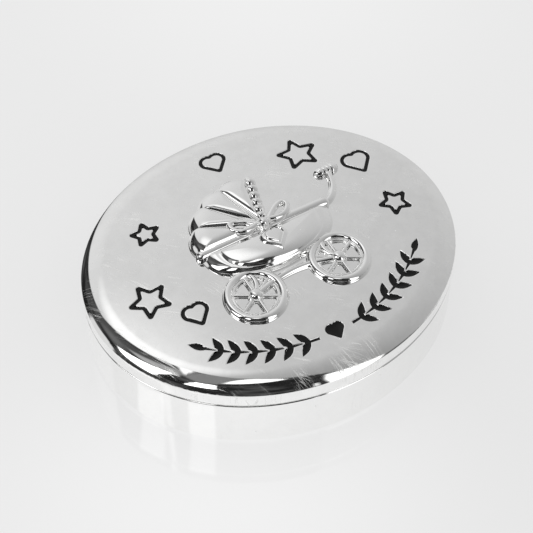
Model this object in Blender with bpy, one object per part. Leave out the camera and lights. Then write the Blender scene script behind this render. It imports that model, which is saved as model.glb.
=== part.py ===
"""Oval silver-plated keepsake box for a lock of a baby's hair.

The lower shell has a foot rim, a felt pad below and a velvet well inside. A
thin locating collar stands up inside its wall. The lid is a separate casting
that slides down over the collar and lifts straight off. It carries a raised
pram and sunk ornaments filled with black enamel.

The origin is on the ground under the middle of the box. +X runs along the
length, -Y is the front and +Z is up. All sizes are in metres.
"""

import math

import bmesh
import bpy
from mathutils import Vector

MM = 0.001

# Overall oval, and how the height is shared between the base and the lid.
BOX_LENGTH = 70.0 * MM
BOX_WIDTH = 60.0 * MM
BASE_HEIGHT = 11.2 * MM
SEAM_GAP = 0.2 * MM
SKIRT_HEIGHT = 2.7 * MM
SHOULDER_WIDTH = 4.2 * MM
SHOULDER_RISE = 2.4 * MM
CROWN_RISE = 1.1 * MM

# Metal thicknesses and edges.
WALL = 1.3 * MM
FLOOR = 1.3 * MM
CEILING = 1.5 * MM
HOLLOW_CORNER_RISE = 1.6 * MM
EDGE_BREAK = 0.25 * MM
BASE_CORNER_RADIUS = 0.9 * MM

# Foot rim and the felt pad inside it.
FOOT_RIM_WIDTH = 2.2 * MM
FOOT_RECESS = 0.7 * MM
FELT_THICKNESS = 0.5 * MM
FELT_MARGIN = 0.3 * MM

# Locating collar inside the base wall.
COLLAR_THICKNESS = 0.8 * MM
COLLAR_RISE = 2.3 * MM
PRESS_GAP = 0.1 * MM
LID_CLEARANCE = 0.15 * MM

# Velvet well: card, wadding and velvet on the wall and the floor.
CARD_THICKNESS = 0.5 * MM
FLOOR_CARD_THICKNESS = 0.8 * MM
VELVET_THICKNESS = 0.4 * MM
LAYER_GAP = 0.1 * MM
WALL_LINING_SETBACK = 0.6 * MM
FLOOR_WADDING_EDGE = 1.0 * MM
FLOOR_WADDING_CROWN = 0.8 * MM
PAD_CLEARANCE = 0.3 * MM

# Lid pad: card, wadding and velvet under the ceiling.
LID_CARD_THICKNESS = 0.7 * MM
LID_WADDING_EDGE = 0.7 * MM
LID_WADDING_CROWN = 0.6 * MM
LID_CARD_MARGIN = 0.9 * MM

# Enamel ornaments.
ENAMEL_DEPTH = 0.5 * MM
ENAMEL_RECESS = 0.1 * MM
ENAMEL_GAP = 0.05 * MM
STROKE = 0.62 * MM
STAR_WAIST = 0.52
STAR_TIP_BREAK = math.radians(3)
STAR_UPPER_LEFT_RADIUS = 2.7 * MM
STAR_LEFT_RADIUS = 3.7 * MM
STAR_UPPER_RIGHT_RADIUS = 3.9 * MM
STAR_RIGHT_RADIUS = 3.0 * MM
HEART_TOP_WIDTH = 4.6 * MM
HEART_RIGHT_WIDTH = 5.2 * MM
HEART_LOWER_LEFT_WIDTH = 4.4 * MM
CUTTER_STAND = 1.0 * MM

# Raised pram: how far its forms are sunk in the crown, and their sizes.
SINK = 0.6 * MM
PUFF_TURN = math.radians(78)
PRAM_LIFT = 2.4 * MM
BODY_HALF_LENGTH = 12.8 * MM
BODY_DEPTH = 8.8 * MM
BODY_PUFF = 2.3 * MM
HOOD_RADIUS = 13.0 * MM
HOOD_PUFF = 2.5 * MM
HOOD_GORES = 4
HOOD_START = math.radians(80)
HOOD_END = math.radians(176)
HOOD_ROOT_DROP = 0.5 * MM
PLEAT_DEPTH = 0.22
FRILL_LOBES = 6
FRILL_RADIUS = 1.15 * MM
FRILL_WAIST = 0.78
FRILL_LIFT = 0.45 * MM
RIM_TUBE_RADIUS = 0.95 * MM
RIM_TUBE_LIFT = 0.85 * MM
WHEEL_RADIUS = 4.9 * MM
WHEEL_TRACK = 17.0 * MM
WHEEL_DROP = 12.0 * MM
TYRE_RADIUS = 0.8 * MM
TYRE_LIFT = 0.25 * MM
HUB_RADIUS = 1.35 * MM
HUB_PUFF = 1.5 * MM
SPOKES = 6
SPOKE_RADIUS = 0.36 * MM
SPOKE_LIFT = 0.12 * MM
CHASSIS_RADIUS = 0.55 * MM
CHASSIS_BOW = 1.6 * MM
CHASSIS_LIFT = 0.3 * MM
SPRING_BOW = 1.4 * MM
SPRING_REACH = 6.0 * MM
SPRING_LIFT = 0.2 * MM
HANDLE_RADIUS = 0.6 * MM
HANDLE_LIFT = 0.3 * MM
HANDLE_LAP = 0.6 * MM
HANDLE_REACH = 5.2 * MM
HANDLE_HEIGHT = 7.0 * MM
GRIP_RADIUS = 1.05 * MM
GRIP_LENGTH = 4.2 * MM
GRIP_LIFT = 0.2 * MM
BADGE_WIDTH = 6.4 * MM
BADGE_PUFF = 2.9 * MM
BOW_LOOP_LENGTH = 4.4 * MM
BOW_LOOP_WIDTH = 3.0 * MM
BOW_PUFF = 3.0 * MM
BOW_START = 0.5 * MM
KNOT_RADIUS = 1.1 * MM
KNOT_PUFF = 3.4 * MM

# Garland of leaves along the front edge.
GARLAND_INSET = 3.3 * MM
GARLAND_START = math.radians(7.0)
GARLAND_END = math.radians(50.0)
GARLAND_LEAF_PAIRS = 6
LEAF_LENGTH = 3.1 * MM
LEAF_WIDTH = 1.25 * MM
LEAF_LEAN = math.radians(48)
STEM_WIDTH = 0.5 * MM
BUD_WIDTH = 3.4 * MM

# Roundness.
OVAL_SEGMENTS = 66
ROUND_SEGMENTS = 20

# Sizes that follow from those above.
HALF_LENGTH = BOX_LENGTH / 2
HALF_WIDTH = BOX_WIDTH / 2
FLOOR_TOP = FOOT_RECESS + FLOOR
LID_BOTTOM = BASE_HEIGHT + SEAM_GAP
SKIRT_TOP = LID_BOTTOM + SKIRT_HEIGHT
SHOULDER_TOP = SKIRT_TOP + SHOULDER_RISE
CROWN_HALF_LENGTH = HALF_LENGTH - SHOULDER_WIDTH
CROWN_HALF_WIDTH = HALF_WIDTH - SHOULDER_WIDTH
COLLAR_INSET = WALL + LID_CLEARANCE
COLLAR_TOP = BASE_HEIGHT + COLLAR_RISE
WALL_CARD_INSET = COLLAR_INSET + COLLAR_THICKNESS + LAYER_GAP
WALL_VELVET_INSET = WALL_CARD_INSET + CARD_THICKNESS + LAYER_GAP
WELL_INSET = WALL_VELVET_INSET + VELVET_THICKNESS
WALL_LINING_TOP = COLLAR_TOP - WALL_LINING_SETBACK


def crown_height(x, y):
    """Height of the lid's top over the point x, y of its crown."""
    share = (x / CROWN_HALF_LENGTH) ** 2 + (y / CROWN_HALF_WIDTH) ** 2
    return SHOULDER_TOP + CROWN_RISE * (1.0 - share)


def clear_scene():
    for old in list(bpy.data.objects):
        bpy.data.objects.remove(old)


def plain_finish(name, colour, roughness, metallic):
    """A Principled material in one plain colour."""
    material = bpy.data.materials.new(name)
    material.use_nodes = True
    shader = material.node_tree.nodes["Principled BSDF"]
    shader.inputs["Base Color"].default_value = (*colour, 1.0)
    shader.inputs["Roughness"].default_value = roughness
    shader.inputs["Metallic"].default_value = metallic
    return material


def finish_object(name, mesh, material, smooth_angle=35):
    """Turns a bmesh into a named, smooth-shaded object with one material."""
    bmesh.ops.remove_doubles(mesh, verts=mesh.verts, dist=1e-7)
    bmesh.ops.triangulate(mesh, faces=mesh.faces)
    bmesh.ops.recalc_face_normals(mesh, faces=mesh.faces)
    data = bpy.data.meshes.new(name)
    mesh.to_mesh(data)
    mesh.free()
    data.shade_smooth()
    data.set_sharp_from_angle(angle=math.radians(smooth_angle))
    made = bpy.data.objects.new(name, data)
    bpy.context.scene.collection.objects.link(made)
    if material:
        data.materials.append(material)
    return made


def hide_helper(helper):
    helper.hide_render = True
    helper.display_type = "WIRE"
    return helper


def boolean(target, helper, operation):
    """Joins or cuts with the manifold solver, as the exact one leaves open edges where many forms meet."""
    cut = target.modifiers.new(helper.name, "BOOLEAN")
    cut.operation = operation
    cut.object = helper
    cut.solver = "MANIFOLD"
    return cut


# Oval forms: shells, bands and pads.


def inset_oval(inset, height):
    """A station of the box's oval, drawn in by a constant distance."""
    return (HALF_LENGTH - inset, HALF_WIDTH - inset, height)


def extrude_loop(mesh, edges):
    """Extrudes a loop of edges and returns the new loop's verts and edges."""
    made = bmesh.ops.extrude_edge_only(mesh, edges=edges)["geom"]
    verts = {item for item in made if isinstance(item, bmesh.types.BMVert)}
    rim = {edge for vertex in verts for edge in vertex.link_edges if set(edge.verts) <= verts}
    return verts, list(rim)


def oval_form(name, stations, material, is_band=False):
    """Extrudes an oval from station to station. A band ends where it began, and any other form is capped."""
    mesh = bmesh.new()
    circle = bmesh.ops.create_circle(mesh, segments=OVAL_SEGMENTS, radius=1.0)["verts"]
    half_length, half_width, height = stations[0]
    for vertex in circle:
        vertex.co = Vector((vertex.co.x * half_length, vertex.co.y * half_width, height))
    first_rim = list(mesh.edges)
    rim = first_rim
    for station in stations[1:] + ([stations[0]] if is_band else []):
        verts, rim = extrude_loop(mesh, rim)
        for vertex in verts:
            vertex.co.x *= station[0] / half_length
            vertex.co.y *= station[1] / half_width
            vertex.co.z = station[2]
        half_length, half_width, height = station
    if not is_band:
        bmesh.ops.edgeloop_fill(mesh, edges=first_rim)
        bmesh.ops.edgeloop_fill(mesh, edges=rim)
    return finish_object(name, mesh, material)


def corner_stations(inset, radius, bottom, steps=3):
    """Stations round an outer bottom corner, from the ground up the wall."""
    turns = [math.pi / 2 * step / steps for step in range(steps + 1)]
    return [
        inset_oval(inset + radius * (1 - math.sin(turn)), bottom + radius * (1 - math.cos(turn)))
        for turn in turns
    ]


def shoulder_stations(steps=6):
    """Stations of the lid's shoulder, from the crease above the skirt to the crown's edge."""
    crown_slope = 2 * CROWN_RISE / CROWN_HALF_LENGTH
    stations = []
    for step in range(steps + 1):
        turn = math.pi / 2 * step / steps
        inward = SHOULDER_WIDTH * (1 - math.cos(turn))
        rise = SHOULDER_RISE * math.sin(turn)
        tilt = crown_slope * (inward - SHOULDER_WIDTH) * math.sin(turn) ** 2
        stations.append((inward, rise + tilt))
    return stations


def crown_stations(drop, steps):
    """Stations of the crown, or of the ceiling a drop below it, from its edge towards the middle."""
    stations = []
    for step in range(1, steps):
        share = 1 - step / steps
        level = SHOULDER_TOP - drop + CROWN_RISE * (1 - share**2)
        stations.append((CROWN_HALF_LENGTH * share, CROWN_HALF_WIDTH * share, level))
    return stations


def make_base_shell(silver):
    foot_inset = FOOT_RIM_WIDTH + BASE_CORNER_RADIUS
    stations = [inset_oval(foot_inset, FOOT_RECESS), inset_oval(foot_inset, 0.0)]
    stations += corner_stations(0.0, BASE_CORNER_RADIUS, 0.0)
    stations += [
        inset_oval(0.0, BASE_HEIGHT - EDGE_BREAK),
        inset_oval(EDGE_BREAK, BASE_HEIGHT),
        inset_oval(WALL, BASE_HEIGHT),
        inset_oval(WALL, FLOOR_TOP),
    ]
    return oval_form("base_shell", stations, silver)


def make_rim_collar(silver):
    inner = COLLAR_INSET + COLLAR_THICKNESS
    bottom = FLOOR_TOP + PRESS_GAP
    stations = [
        inset_oval(COLLAR_INSET, bottom),
        inset_oval(COLLAR_INSET, COLLAR_TOP - EDGE_BREAK),
        inset_oval(COLLAR_INSET + EDGE_BREAK, COLLAR_TOP),
        inset_oval(inner, COLLAR_TOP),
        inset_oval(inner, bottom),
    ]
    return oval_form("rim_collar", stations, silver, is_band=True)


def make_wall_lining(card, velvet):
    """A card strip inside the collar, and the velvet that covers it and turns over its top edge."""
    bottom = FLOOR_TOP + PRESS_GAP
    card_top = WALL_LINING_TOP - VELVET_THICKNESS - LAYER_GAP
    card_inner = WALL_CARD_INSET + CARD_THICKNESS
    card_stations = [
        inset_oval(WALL_CARD_INSET, bottom),
        inset_oval(WALL_CARD_INSET, card_top),
        inset_oval(card_inner, card_top),
        inset_oval(card_inner, bottom),
    ]
    oval_form("wall_card", card_stations, card, is_band=True)
    velvet_stations = [
        inset_oval(WALL_VELVET_INSET, bottom),
        inset_oval(WALL_VELVET_INSET, card_top + LAYER_GAP),
        inset_oval(WALL_CARD_INSET, card_top + LAYER_GAP),
        inset_oval(WALL_CARD_INSET, WALL_LINING_TOP),
        inset_oval(WELL_INSET - VELVET_THICKNESS / 2, WALL_LINING_TOP),
        inset_oval(WELL_INSET, WALL_LINING_TOP - VELVET_THICKNESS / 2),
        inset_oval(WELL_INSET, bottom),
    ]
    oval_form("wall_velvet", velvet_stations, velvet, is_band=True)


def pad_stations(inset, edge, crown, level, direction, steps=3):
    """Stations of a cushion's crowned face: its rounded edge and then its swell, up or down from a level."""
    stations = []
    for step in range(steps + 1):
        turn = math.pi / 2 * step / steps
        rise = direction * edge * math.sin(turn)
        stations.append(inset_oval(inset + edge * (1 - math.cos(turn)), level + rise))
    half_length, half_width, top = stations[-1]
    for share in (0.7, 0.35):
        swell = crown * (1 - share**2)
        stations.append((half_length * share, half_width * share, top + direction * swell))
    return stations


def make_covered_pad(names, materials, inset, level, direction, card_thickness, edge, crown):
    """A stiff card, a crowned wadding pad on it, and velvet drawn over both and round the card's edge."""
    card_name, wadding_name, velvet_name = names
    card, wadding, velvet = materials
    inner = inset + VELVET_THICKNESS + LAYER_GAP
    card_end = level + direction * card_thickness
    oval_form(card_name, [inset_oval(inner, level), inset_oval(inner, card_end)], card)
    wadding_start = card_end + direction * LAYER_GAP
    wadding_face = pad_stations(inner, edge, crown, wadding_start, direction)
    oval_form(wadding_name, [inset_oval(inner, wadding_start), *wadding_face[1:]], wadding)
    outer_edge = edge + VELVET_THICKNESS + LAYER_GAP
    outside = pad_stations(inset, outer_edge, crown, wadding_start, direction)
    lining = pad_stations(inner - LAYER_GAP, edge + LAYER_GAP, crown, wadding_start, direction)
    skirt = [inset_oval(inner - LAYER_GAP, level), inset_oval(inset, level)]
    oval_form(velvet_name, [*reversed(lining), *skirt, *outside], velvet)


def make_foot_felt(felt):
    inset = FOOT_RIM_WIDTH + BASE_CORNER_RADIUS + FELT_MARGIN
    top = FOOT_RECESS - PRESS_GAP
    stations = [inset_oval(inset, top - FELT_THICKNESS), inset_oval(inset, top)]
    return oval_form("foot_felt", stations, felt)


def make_lid_blank(silver):
    """The lid's shell before its ornament: skirt, shoulder and crown outside, and the hollow inside."""
    outside = [inset_oval(EDGE_BREAK, LID_BOTTOM), inset_oval(0.0, LID_BOTTOM + EDGE_BREAK)]
    outside += [inset_oval(inward, SKIRT_TOP + rise) for inward, rise in shoulder_stations()]
    outside += crown_stations(0.0, 6)
    ceiling_edge = SHOULDER_TOP - CEILING
    corner_width = SHOULDER_WIDTH - WALL
    hollow = list(reversed(crown_stations(CEILING, 3)))
    for step in range(5):
        turn = math.pi / 2 * step / 4
        inset = SHOULDER_WIDTH - corner_width * math.sin(turn)
        hollow.append(inset_oval(inset, ceiling_edge - HOLLOW_CORNER_RISE * (1 - math.cos(turn))))
    hollow.append(inset_oval(WALL, LID_BOTTOM))
    return oval_form("lid_shell", hollow + outside, silver)


# Raised forms on the crown.


def even_relief(x, y):
    return 1.0


def puff(name, outline, rise, relief=even_relief, fullness=0.7, steps=3):
    """A cushion-like form on the crown: its outline is extruded up and drawn in towards its middle.

    The relief gives the share of the rise that the form reaches over a point.
    """
    mesh = bmesh.new()
    middle = sum((Vector(point) for point in outline), Vector((0, 0))) / len(outline)
    corners = [mesh.verts.new((x, y, crown_height(x, y) - SINK)) for x, y in outline]
    mesh.faces.new(corners)
    edges = list(mesh.edges)
    spread = 1.0
    for step in range(steps + 1):
        turn = PUFF_TURN * step / steps
        new_spread = math.cos(turn) ** fullness
        verts, edges = extrude_loop(mesh, edges)
        for vertex in verts:
            flat = middle + (vertex.co.xy - middle) * (new_spread / spread)
            level = rise * math.sin(turn) * relief(flat.x, flat.y)
            vertex.co = (flat.x, flat.y, crown_height(flat.x, flat.y) + level)
        spread = new_spread
    bmesh.ops.edgeloop_fill(mesh, edges=edges)
    return hide_helper(finish_object(name, mesh, None))


def arc_points(centre, radius, start, end, count):
    """Points along an arc about a centre, ends included."""
    x, y = centre
    turns = [start + (end - start) * step / (count - 1) for step in range(count)]
    return [(x + radius * math.cos(turn), y + radius * math.sin(turn)) for turn in turns]


def round_outline(centre, radius, count=ROUND_SEGMENTS):
    return arc_points(centre, radius, 0.0, 2 * math.pi * (count - 1) / count, count)


def tube(name, points, radius, lift=0.0, sides=6, cyclic=False, waist=1.0):
    """A round bar that follows the crown. Its radius narrows to the waist's share at every other point."""
    data = bpy.data.curves.new(name, "CURVE")
    data.dimensions = "3D"
    data.bevel_depth = radius
    data.bevel_resolution = (sides - 4) // 2
    data.use_fill_caps = True
    spline = data.splines.new("POLY")
    spline.points.add(len(points) - 1)
    for index, (x, y) in enumerate(points):
        spline.points[index].co = (x, y, crown_height(x, y) + lift, 1.0)
        spline.points[index].radius = waist if index % 2 == 0 else 1.0
    spline.use_cyclic_u = cyclic
    bar = bpy.data.objects.new(name + "_path", data)
    bpy.context.scene.collection.objects.link(bar)
    graph = bpy.context.evaluated_depsgraph_get()
    mesh = bmesh.new()
    mesh.from_mesh(bar.evaluated_get(graph).to_mesh())
    bpy.data.objects.remove(bar)
    return hide_helper(finish_object(name, mesh, None))


def line_points(start, end, count):
    """Points along a straight line, ends included."""
    shares = [step / (count - 1) for step in range(count)]
    return [tuple(Vector(start).lerp(Vector(end), share)) for share in shares]


def heart_outline(centre, width, growth=0.0, steps=6):
    """A plain heart, point down and anticlockwise. Growth moves the whole outline outwards by a distance."""
    x, y = centre
    lobe_radius = width / 3.2
    lobe_offset = lobe_radius * 0.6
    radius = lobe_radius + growth
    slope = math.radians(42)
    tip = -(radius + lobe_offset * math.cos(slope)) / math.sin(slope)
    notch = math.acos(-lobe_offset / radius)
    lift = y + lobe_radius * 0.65
    right = arc_points((x + lobe_offset, lift), radius, -slope, notch, steps)
    left = [(2 * x - across, up) for across, up in reversed(right[:-1])]
    return [(x, lift + tip), *right, *left]


def pram_body():
    """The boat-shaped body below the rim, with a rolled rim bar along its top."""
    outline = []
    for step in range(17):
        turn = math.pi + math.pi * step / 16
        bulge = abs(math.sin(turn)) ** 0.75
        outline.append((BODY_HALF_LENGTH * math.cos(turn), PRAM_LIFT - BODY_DEPTH * bulge))
    body = puff("raised_body", outline, BODY_PUFF)
    overhang = BODY_HALF_LENGTH + RIM_TUBE_RADIUS
    path = line_points((-overhang, PRAM_LIFT), (overhang, PRAM_LIFT), 6)
    return [body, tube("raised_rim", path, RIM_TUBE_RADIUS, lift=RIM_TUBE_LIFT)]


def pram_hood():
    """A pleated fan from the middle of the rim, lobed along its edge, with a beaded frill at its opening."""
    root = Vector((0.0, PRAM_LIFT - HOOD_ROOT_DROP))
    gore = (HOOD_END - HOOD_START) / HOOD_GORES

    def swell(turn):
        """0 in a valley between two gores and 1 along the middle of a gore."""
        return abs(math.sin(math.pi * (turn - HOOD_START) / gore))

    def pleats(x, y):
        return 1 - PLEAT_DEPTH * (1 - swell(math.atan2(y - root.y, x - root.x)))

    outline = [tuple(root)]
    for step in range(4 * HOOD_GORES + 1):
        turn = HOOD_START + gore * step / 4
        reach = HOOD_RADIUS * (1 + 0.05 * swell(turn))
        outline.append((root.x + reach * math.cos(turn), root.y + reach * math.sin(turn)))
    hood = puff("raised_hood", outline, HOOD_PUFF, relief=pleats, fullness=0.55, steps=4)
    open_edge = Vector((math.cos(HOOD_START), math.sin(HOOD_START)))
    frill_ends = (root + open_edge * FRILL_RADIUS, root + open_edge * (HOOD_RADIUS + FRILL_RADIUS / 2))
    path = line_points(*frill_ends, 2 * FRILL_LOBES + 1)
    frill = tube("raised_frill", path, FRILL_RADIUS, lift=FRILL_LIFT, sides=8, waist=FRILL_WAIST)
    return [hood, frill]


def pram_wheel(name, centre):
    """A tyre, its spokes and a domed hub cap."""
    rim = round_outline(centre, WHEEL_RADIUS, 24)
    forms = [tube(name + "_tyre", rim, TYRE_RADIUS, lift=TYRE_LIFT, sides=8, cyclic=True)]
    for index in range(SPOKES):
        turn = 2 * math.pi * (index + 0.5) / SPOKES
        direction = Vector((math.cos(turn), math.sin(turn)))
        ends = (Vector(centre) + direction * HUB_RADIUS * 0.75, Vector(centre) + direction * WHEEL_RADIUS)
        forms.append(tube(f"{name}_spoke_{index + 1}", ends, SPOKE_RADIUS, lift=SPOKE_LIFT))
    forms.append(puff(name + "_hub", round_outline(centre, HUB_RADIUS, 12), HUB_PUFF))
    return forms


def pram_chassis(wheel_centres):
    """A bowed bar from hub to hub, and a spring arc up from each hub to the body."""
    left, right = wheel_centres
    shares = [0.04 + 0.92 * step / 7 for step in range(8)]
    bowed = []
    for share in shares:
        rise = CHASSIS_BOW * math.sin(math.pi * share)
        bowed.append((left[0] + (right[0] - left[0]) * share, left[1] + rise))
    forms = [tube("raised_chassis", bowed, CHASSIS_RADIUS, lift=CHASSIS_LIFT)]
    for side, centre in (("left", left), ("right", right)):
        inward = math.copysign(SPRING_BOW, -centre[0])
        spring = []
        for step in range(6):
            share = 0.12 + 0.88 * step / 5
            spring.append((centre[0] + inward * math.sin(math.pi * share), centre[1] + SPRING_REACH * share))
        forms.append(tube(f"raised_spring_{side}", spring, CHASSIS_RADIUS, lift=SPRING_LIFT))
    return forms


def pram_handle():
    """The push bar that sweeps up from the rim, and its turned grip."""
    foot = Vector((BODY_HALF_LENGTH - HANDLE_LAP, PRAM_LIFT))
    tip = foot + Vector((HANDLE_REACH, HANDLE_HEIGHT))
    sweep = []
    for step in range(6):
        turn = math.pi / 2 * step / 5
        sweep.append((foot.x + HANDLE_REACH * math.sin(turn), foot.y + HANDLE_HEIGHT * (1 - math.cos(turn))))
    bar = tube("raised_handle", sweep, HANDLE_RADIUS, lift=HANDLE_LIFT)
    half_grip = Vector((GRIP_LENGTH / 2, 0))
    path = line_points(tip - half_grip, tip + half_grip, 3)
    return [bar, tube("raised_grip", path, GRIP_RADIUS, lift=GRIP_LIFT, sides=8, waist=0.85)]


def pram_bow():
    """A ribbon bow on the hood's pivot: two loops and a knot."""
    forms = []
    for side, name in ((-1, "left"), (1, "right")):
        outline = []
        for step in range(14):
            turn = 2 * math.pi * step / 14
            along = BOW_START + BOW_LOOP_LENGTH / 2 * (1 + math.cos(turn))
            fullest = math.sin(max(turn, 2 * math.pi - turn) / 2 - math.pi / 2)
            across = BOW_LOOP_WIDTH / 2 * math.sin(turn) * fullest
            outline.append((side * along, PRAM_LIFT + across + 0.12 * along))
        forms.append(puff(f"raised_bow_{name}", outline, BOW_PUFF))
    forms.append(puff("raised_knot", round_outline((0.0, PRAM_LIFT), KNOT_RADIUS, 12), KNOT_PUFF))
    return forms


def raised_pram():
    wheels = [(-WHEEL_TRACK / 2, PRAM_LIFT - WHEEL_DROP), (WHEEL_TRACK / 2, PRAM_LIFT - WHEEL_DROP)]
    forms = pram_body() + pram_hood() + pram_chassis(wheels)
    forms += pram_wheel("raised_wheel_left", wheels[0])
    forms += pram_wheel("raised_wheel_right", wheels[1])
    forms += pram_handle() + pram_bow()
    badge = heart_outline((0.0, PRAM_LIFT - BODY_DEPTH / 2), BADGE_WIDTH)
    forms.append(puff("raised_badge", badge, BADGE_PUFF))
    return forms


# Sunk ornaments and their enamel.


def offset_loop(points, distance):
    """A closed outline moved outwards by a distance, with mitred corners. The points run anticlockwise."""
    moved = []
    count = len(points)
    for index in range(count):
        before = Vector(points[index - 1])
        here = Vector(points[index])
        after = Vector(points[(index + 1) % count])
        first = (here - before).normalized()
        second = (after - here).normalized()
        normal = Vector((first.y + second.y, -first.x - second.x)).normalized()
        stretch = max(normal.dot(Vector((first.y, -first.x))), 0.35)
        moved.append(tuple(here + normal * (distance / stretch)))
    return moved


def star_outline(centre, radius, turn, growth=0.0):
    """A plain five-pointed star, anticlockwise. Growth moves its sides outwards by a distance."""
    x, y = centre
    half_turn = math.pi / 5
    side_length = math.sqrt(1 + STAR_WAIST**2 - 2 * STAR_WAIST * math.cos(half_turn))
    side_distance = STAR_WAIST * math.sin(half_turn) / side_length
    reach = radius + growth / side_distance
    points = []
    for index in range(5):
        tip = turn + 2 * half_turn * index
        for shift in (-STAR_TIP_BREAK, STAR_TIP_BREAK):
            points.append((x + reach * math.cos(tip + shift), y + reach * math.sin(tip + shift)))
        dip = tip + half_turn
        points.append((x + reach * STAR_WAIST * math.cos(dip), y + reach * STAR_WAIST * math.sin(dip)))
    return points


def plate_on_crown(name, loops, top, bottom, material):
    """A flat plate with one outline, or a band between two, bent to follow the crown."""
    mesh = bmesh.new()
    edges = []
    for points in loops:
        verts = [mesh.verts.new((x, y, 0.0)) for x, y in points]
        edges += [mesh.edges.new((verts[index - 1], verts[index])) for index in range(len(verts))]
    if len(loops) == 2:
        bmesh.ops.bridge_loops(mesh, edges=edges)
    else:
        bmesh.ops.edgeloop_fill(mesh, edges=edges)
    made = bmesh.ops.extrude_face_region(mesh, geom=list(mesh.faces), use_keep_orig=True)["geom"]
    upper = {item for item in made if isinstance(item, bmesh.types.BMVert)}
    for vertex in mesh.verts:
        level = top if vertex in upper else bottom
        vertex.co.z = crown_height(vertex.co.x, vertex.co.y) + level
    return finish_object(name, mesh, material)


def sunk_ornament(name, shape, enamel, stroke=0.0):
    """The enamel fill of one ornament, and the cutter that sinks its bed in the lid.

    The shape is a function that gives the outline at a growth. A stroke turns the outline into a line of
    that width.
    """
    half = stroke / 2
    growths = [half, -half] if stroke else [0.0]
    gaps = [ENAMEL_GAP, -ENAMEL_GAP]
    fill = [shape(growth) for growth in growths]
    plate_on_crown("enamel_" + name, fill, -ENAMEL_RECESS, -ENAMEL_DEPTH, enamel)
    bed = [shape(growth + gap) for growth, gap in zip(growths, gaps)]
    return hide_helper(plate_on_crown("bed_" + name, bed, CUTTER_STAND, -ENAMEL_DEPTH - ENAMEL_GAP, None))


def signed_area(points):
    pairs = zip(points, points[1:] + points[:1])
    return sum(a[0] * b[1] - a[1] * b[0] for a, b in pairs) / 2


def on_crown(across, up):
    """A place on the crown, from its shares of the half-length and half-width."""
    return (across * CROWN_HALF_LENGTH, up * CROWN_HALF_WIDTH)


def garland_outline(side):
    """Half of the garland as one outline: a curved stem with leaves in pairs and one at its tip."""
    half_length = CROWN_HALF_LENGTH - GARLAND_INSET
    half_width = CROWN_HALF_WIDTH - GARLAND_INSET
    pairs = GARLAND_LEAF_PAIRS

    def stem(share):
        turn = -math.pi / 2 + side * (GARLAND_START + (GARLAND_END - GARLAND_START) * share)
        return Vector((half_length * math.cos(turn), half_width * math.sin(turn)))

    def leaf(share, hand):
        """One leaf's edge, from the stem out to its point and back. Hand 0 is the leaf at the tip."""
        here = stem(share)
        along = (stem(share + 0.01) - stem(share - 0.01)).normalized()
        angle = LEAF_LEAN * hand
        axis = Vector((
            along.x * math.cos(angle) - along.y * math.sin(angle),
            along.x * math.sin(angle) + along.y * math.cos(angle),
        ))
        wide = Vector((-axis.y, axis.x)) * (-hand if hand else 1)
        shape = [
            (0.02, -0.2), (0.3, -0.46), (0.6, -0.44), (0.85, -0.2), (1.0, 0.0),
            (0.85, 0.2), (0.6, 0.44), (0.34, 0.46), (0.17, 0.14),
        ]
        return [here + axis * (LEAF_LENGTH * reach) + wide * (LEAF_WIDTH * swell) for reach, swell in shape]

    shares = [(index + 0.6) / (pairs + 0.6) for index in range(pairs)]
    outgoing, returning = [], []
    start = stem(0.0)
    along = (stem(0.01) - stem(0.0)).normalized()
    left = Vector((-along.y, along.x)) * (STEM_WIDTH / 2)
    outgoing.append(start - left)
    returning.append(start + left)
    for share in shares:
        outgoing += leaf(share, -1)
        returning += leaf(share, 1)
    points = outgoing + leaf(1.0, 0) + list(reversed(returning))
    points = [tuple(point) for point in points]
    return points if signed_area(points) > 0 else list(reversed(points))


def make_ornaments(enamel):
    """Every sunk ornament. Returns the cutters that sink their beds."""
    cutters = []
    stars = {
        "star_upper_left": (on_crown(-0.60, 0.50), STAR_UPPER_LEFT_RADIUS, math.radians(80)),
        "star_left": (on_crown(-0.80, -0.03), STAR_LEFT_RADIUS, math.radians(100)),
        "star_upper_right": (on_crown(0.50, 0.62), STAR_UPPER_RIGHT_RADIUS, math.radians(84)),
        "star_right": (on_crown(0.80, -0.12), STAR_RIGHT_RADIUS, math.radians(98)),
    }
    hearts = {
        "heart_top": (on_crown(0.02, 0.84), HEART_TOP_WIDTH),
        "heart_right": (on_crown(0.78, 0.33), HEART_RIGHT_WIDTH),
        "heart_lower_left": (on_crown(-0.62, -0.30), HEART_LOWER_LEFT_WIDTH),
    }
    for name, placing in stars.items():
        cutters.append(
            sunk_ornament(name, lambda growth, star=placing: star_outline(*star, growth), enamel, STROKE)
        )
    for name, placing in hearts.items():
        cutters.append(
            sunk_ornament(name, lambda growth, heart=placing: heart_outline(*heart, growth), enamel, STROKE)
        )
    for name, side in (("garland_left", -1), ("garland_right", 1)):
        points = garland_outline(side)
        cutters.append(
            sunk_ornament(name, lambda growth, outline=points: offset_loop(outline, growth), enamel)
        )
    middle = (0.0, GARLAND_INSET - CROWN_HALF_WIDTH)
    cutters.append(
        sunk_ornament("heart_middle", lambda growth: heart_outline(middle, BUD_WIDTH, growth), enamel)
    )
    return cutters


def make_lid_shell(silver, enamel):
    lid = make_lid_blank(silver)
    for form in raised_pram():
        boolean(lid, form, "UNION")
    for cutter in make_ornaments(enamel):
        boolean(lid, cutter, "DIFFERENCE")
    return lid


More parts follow.
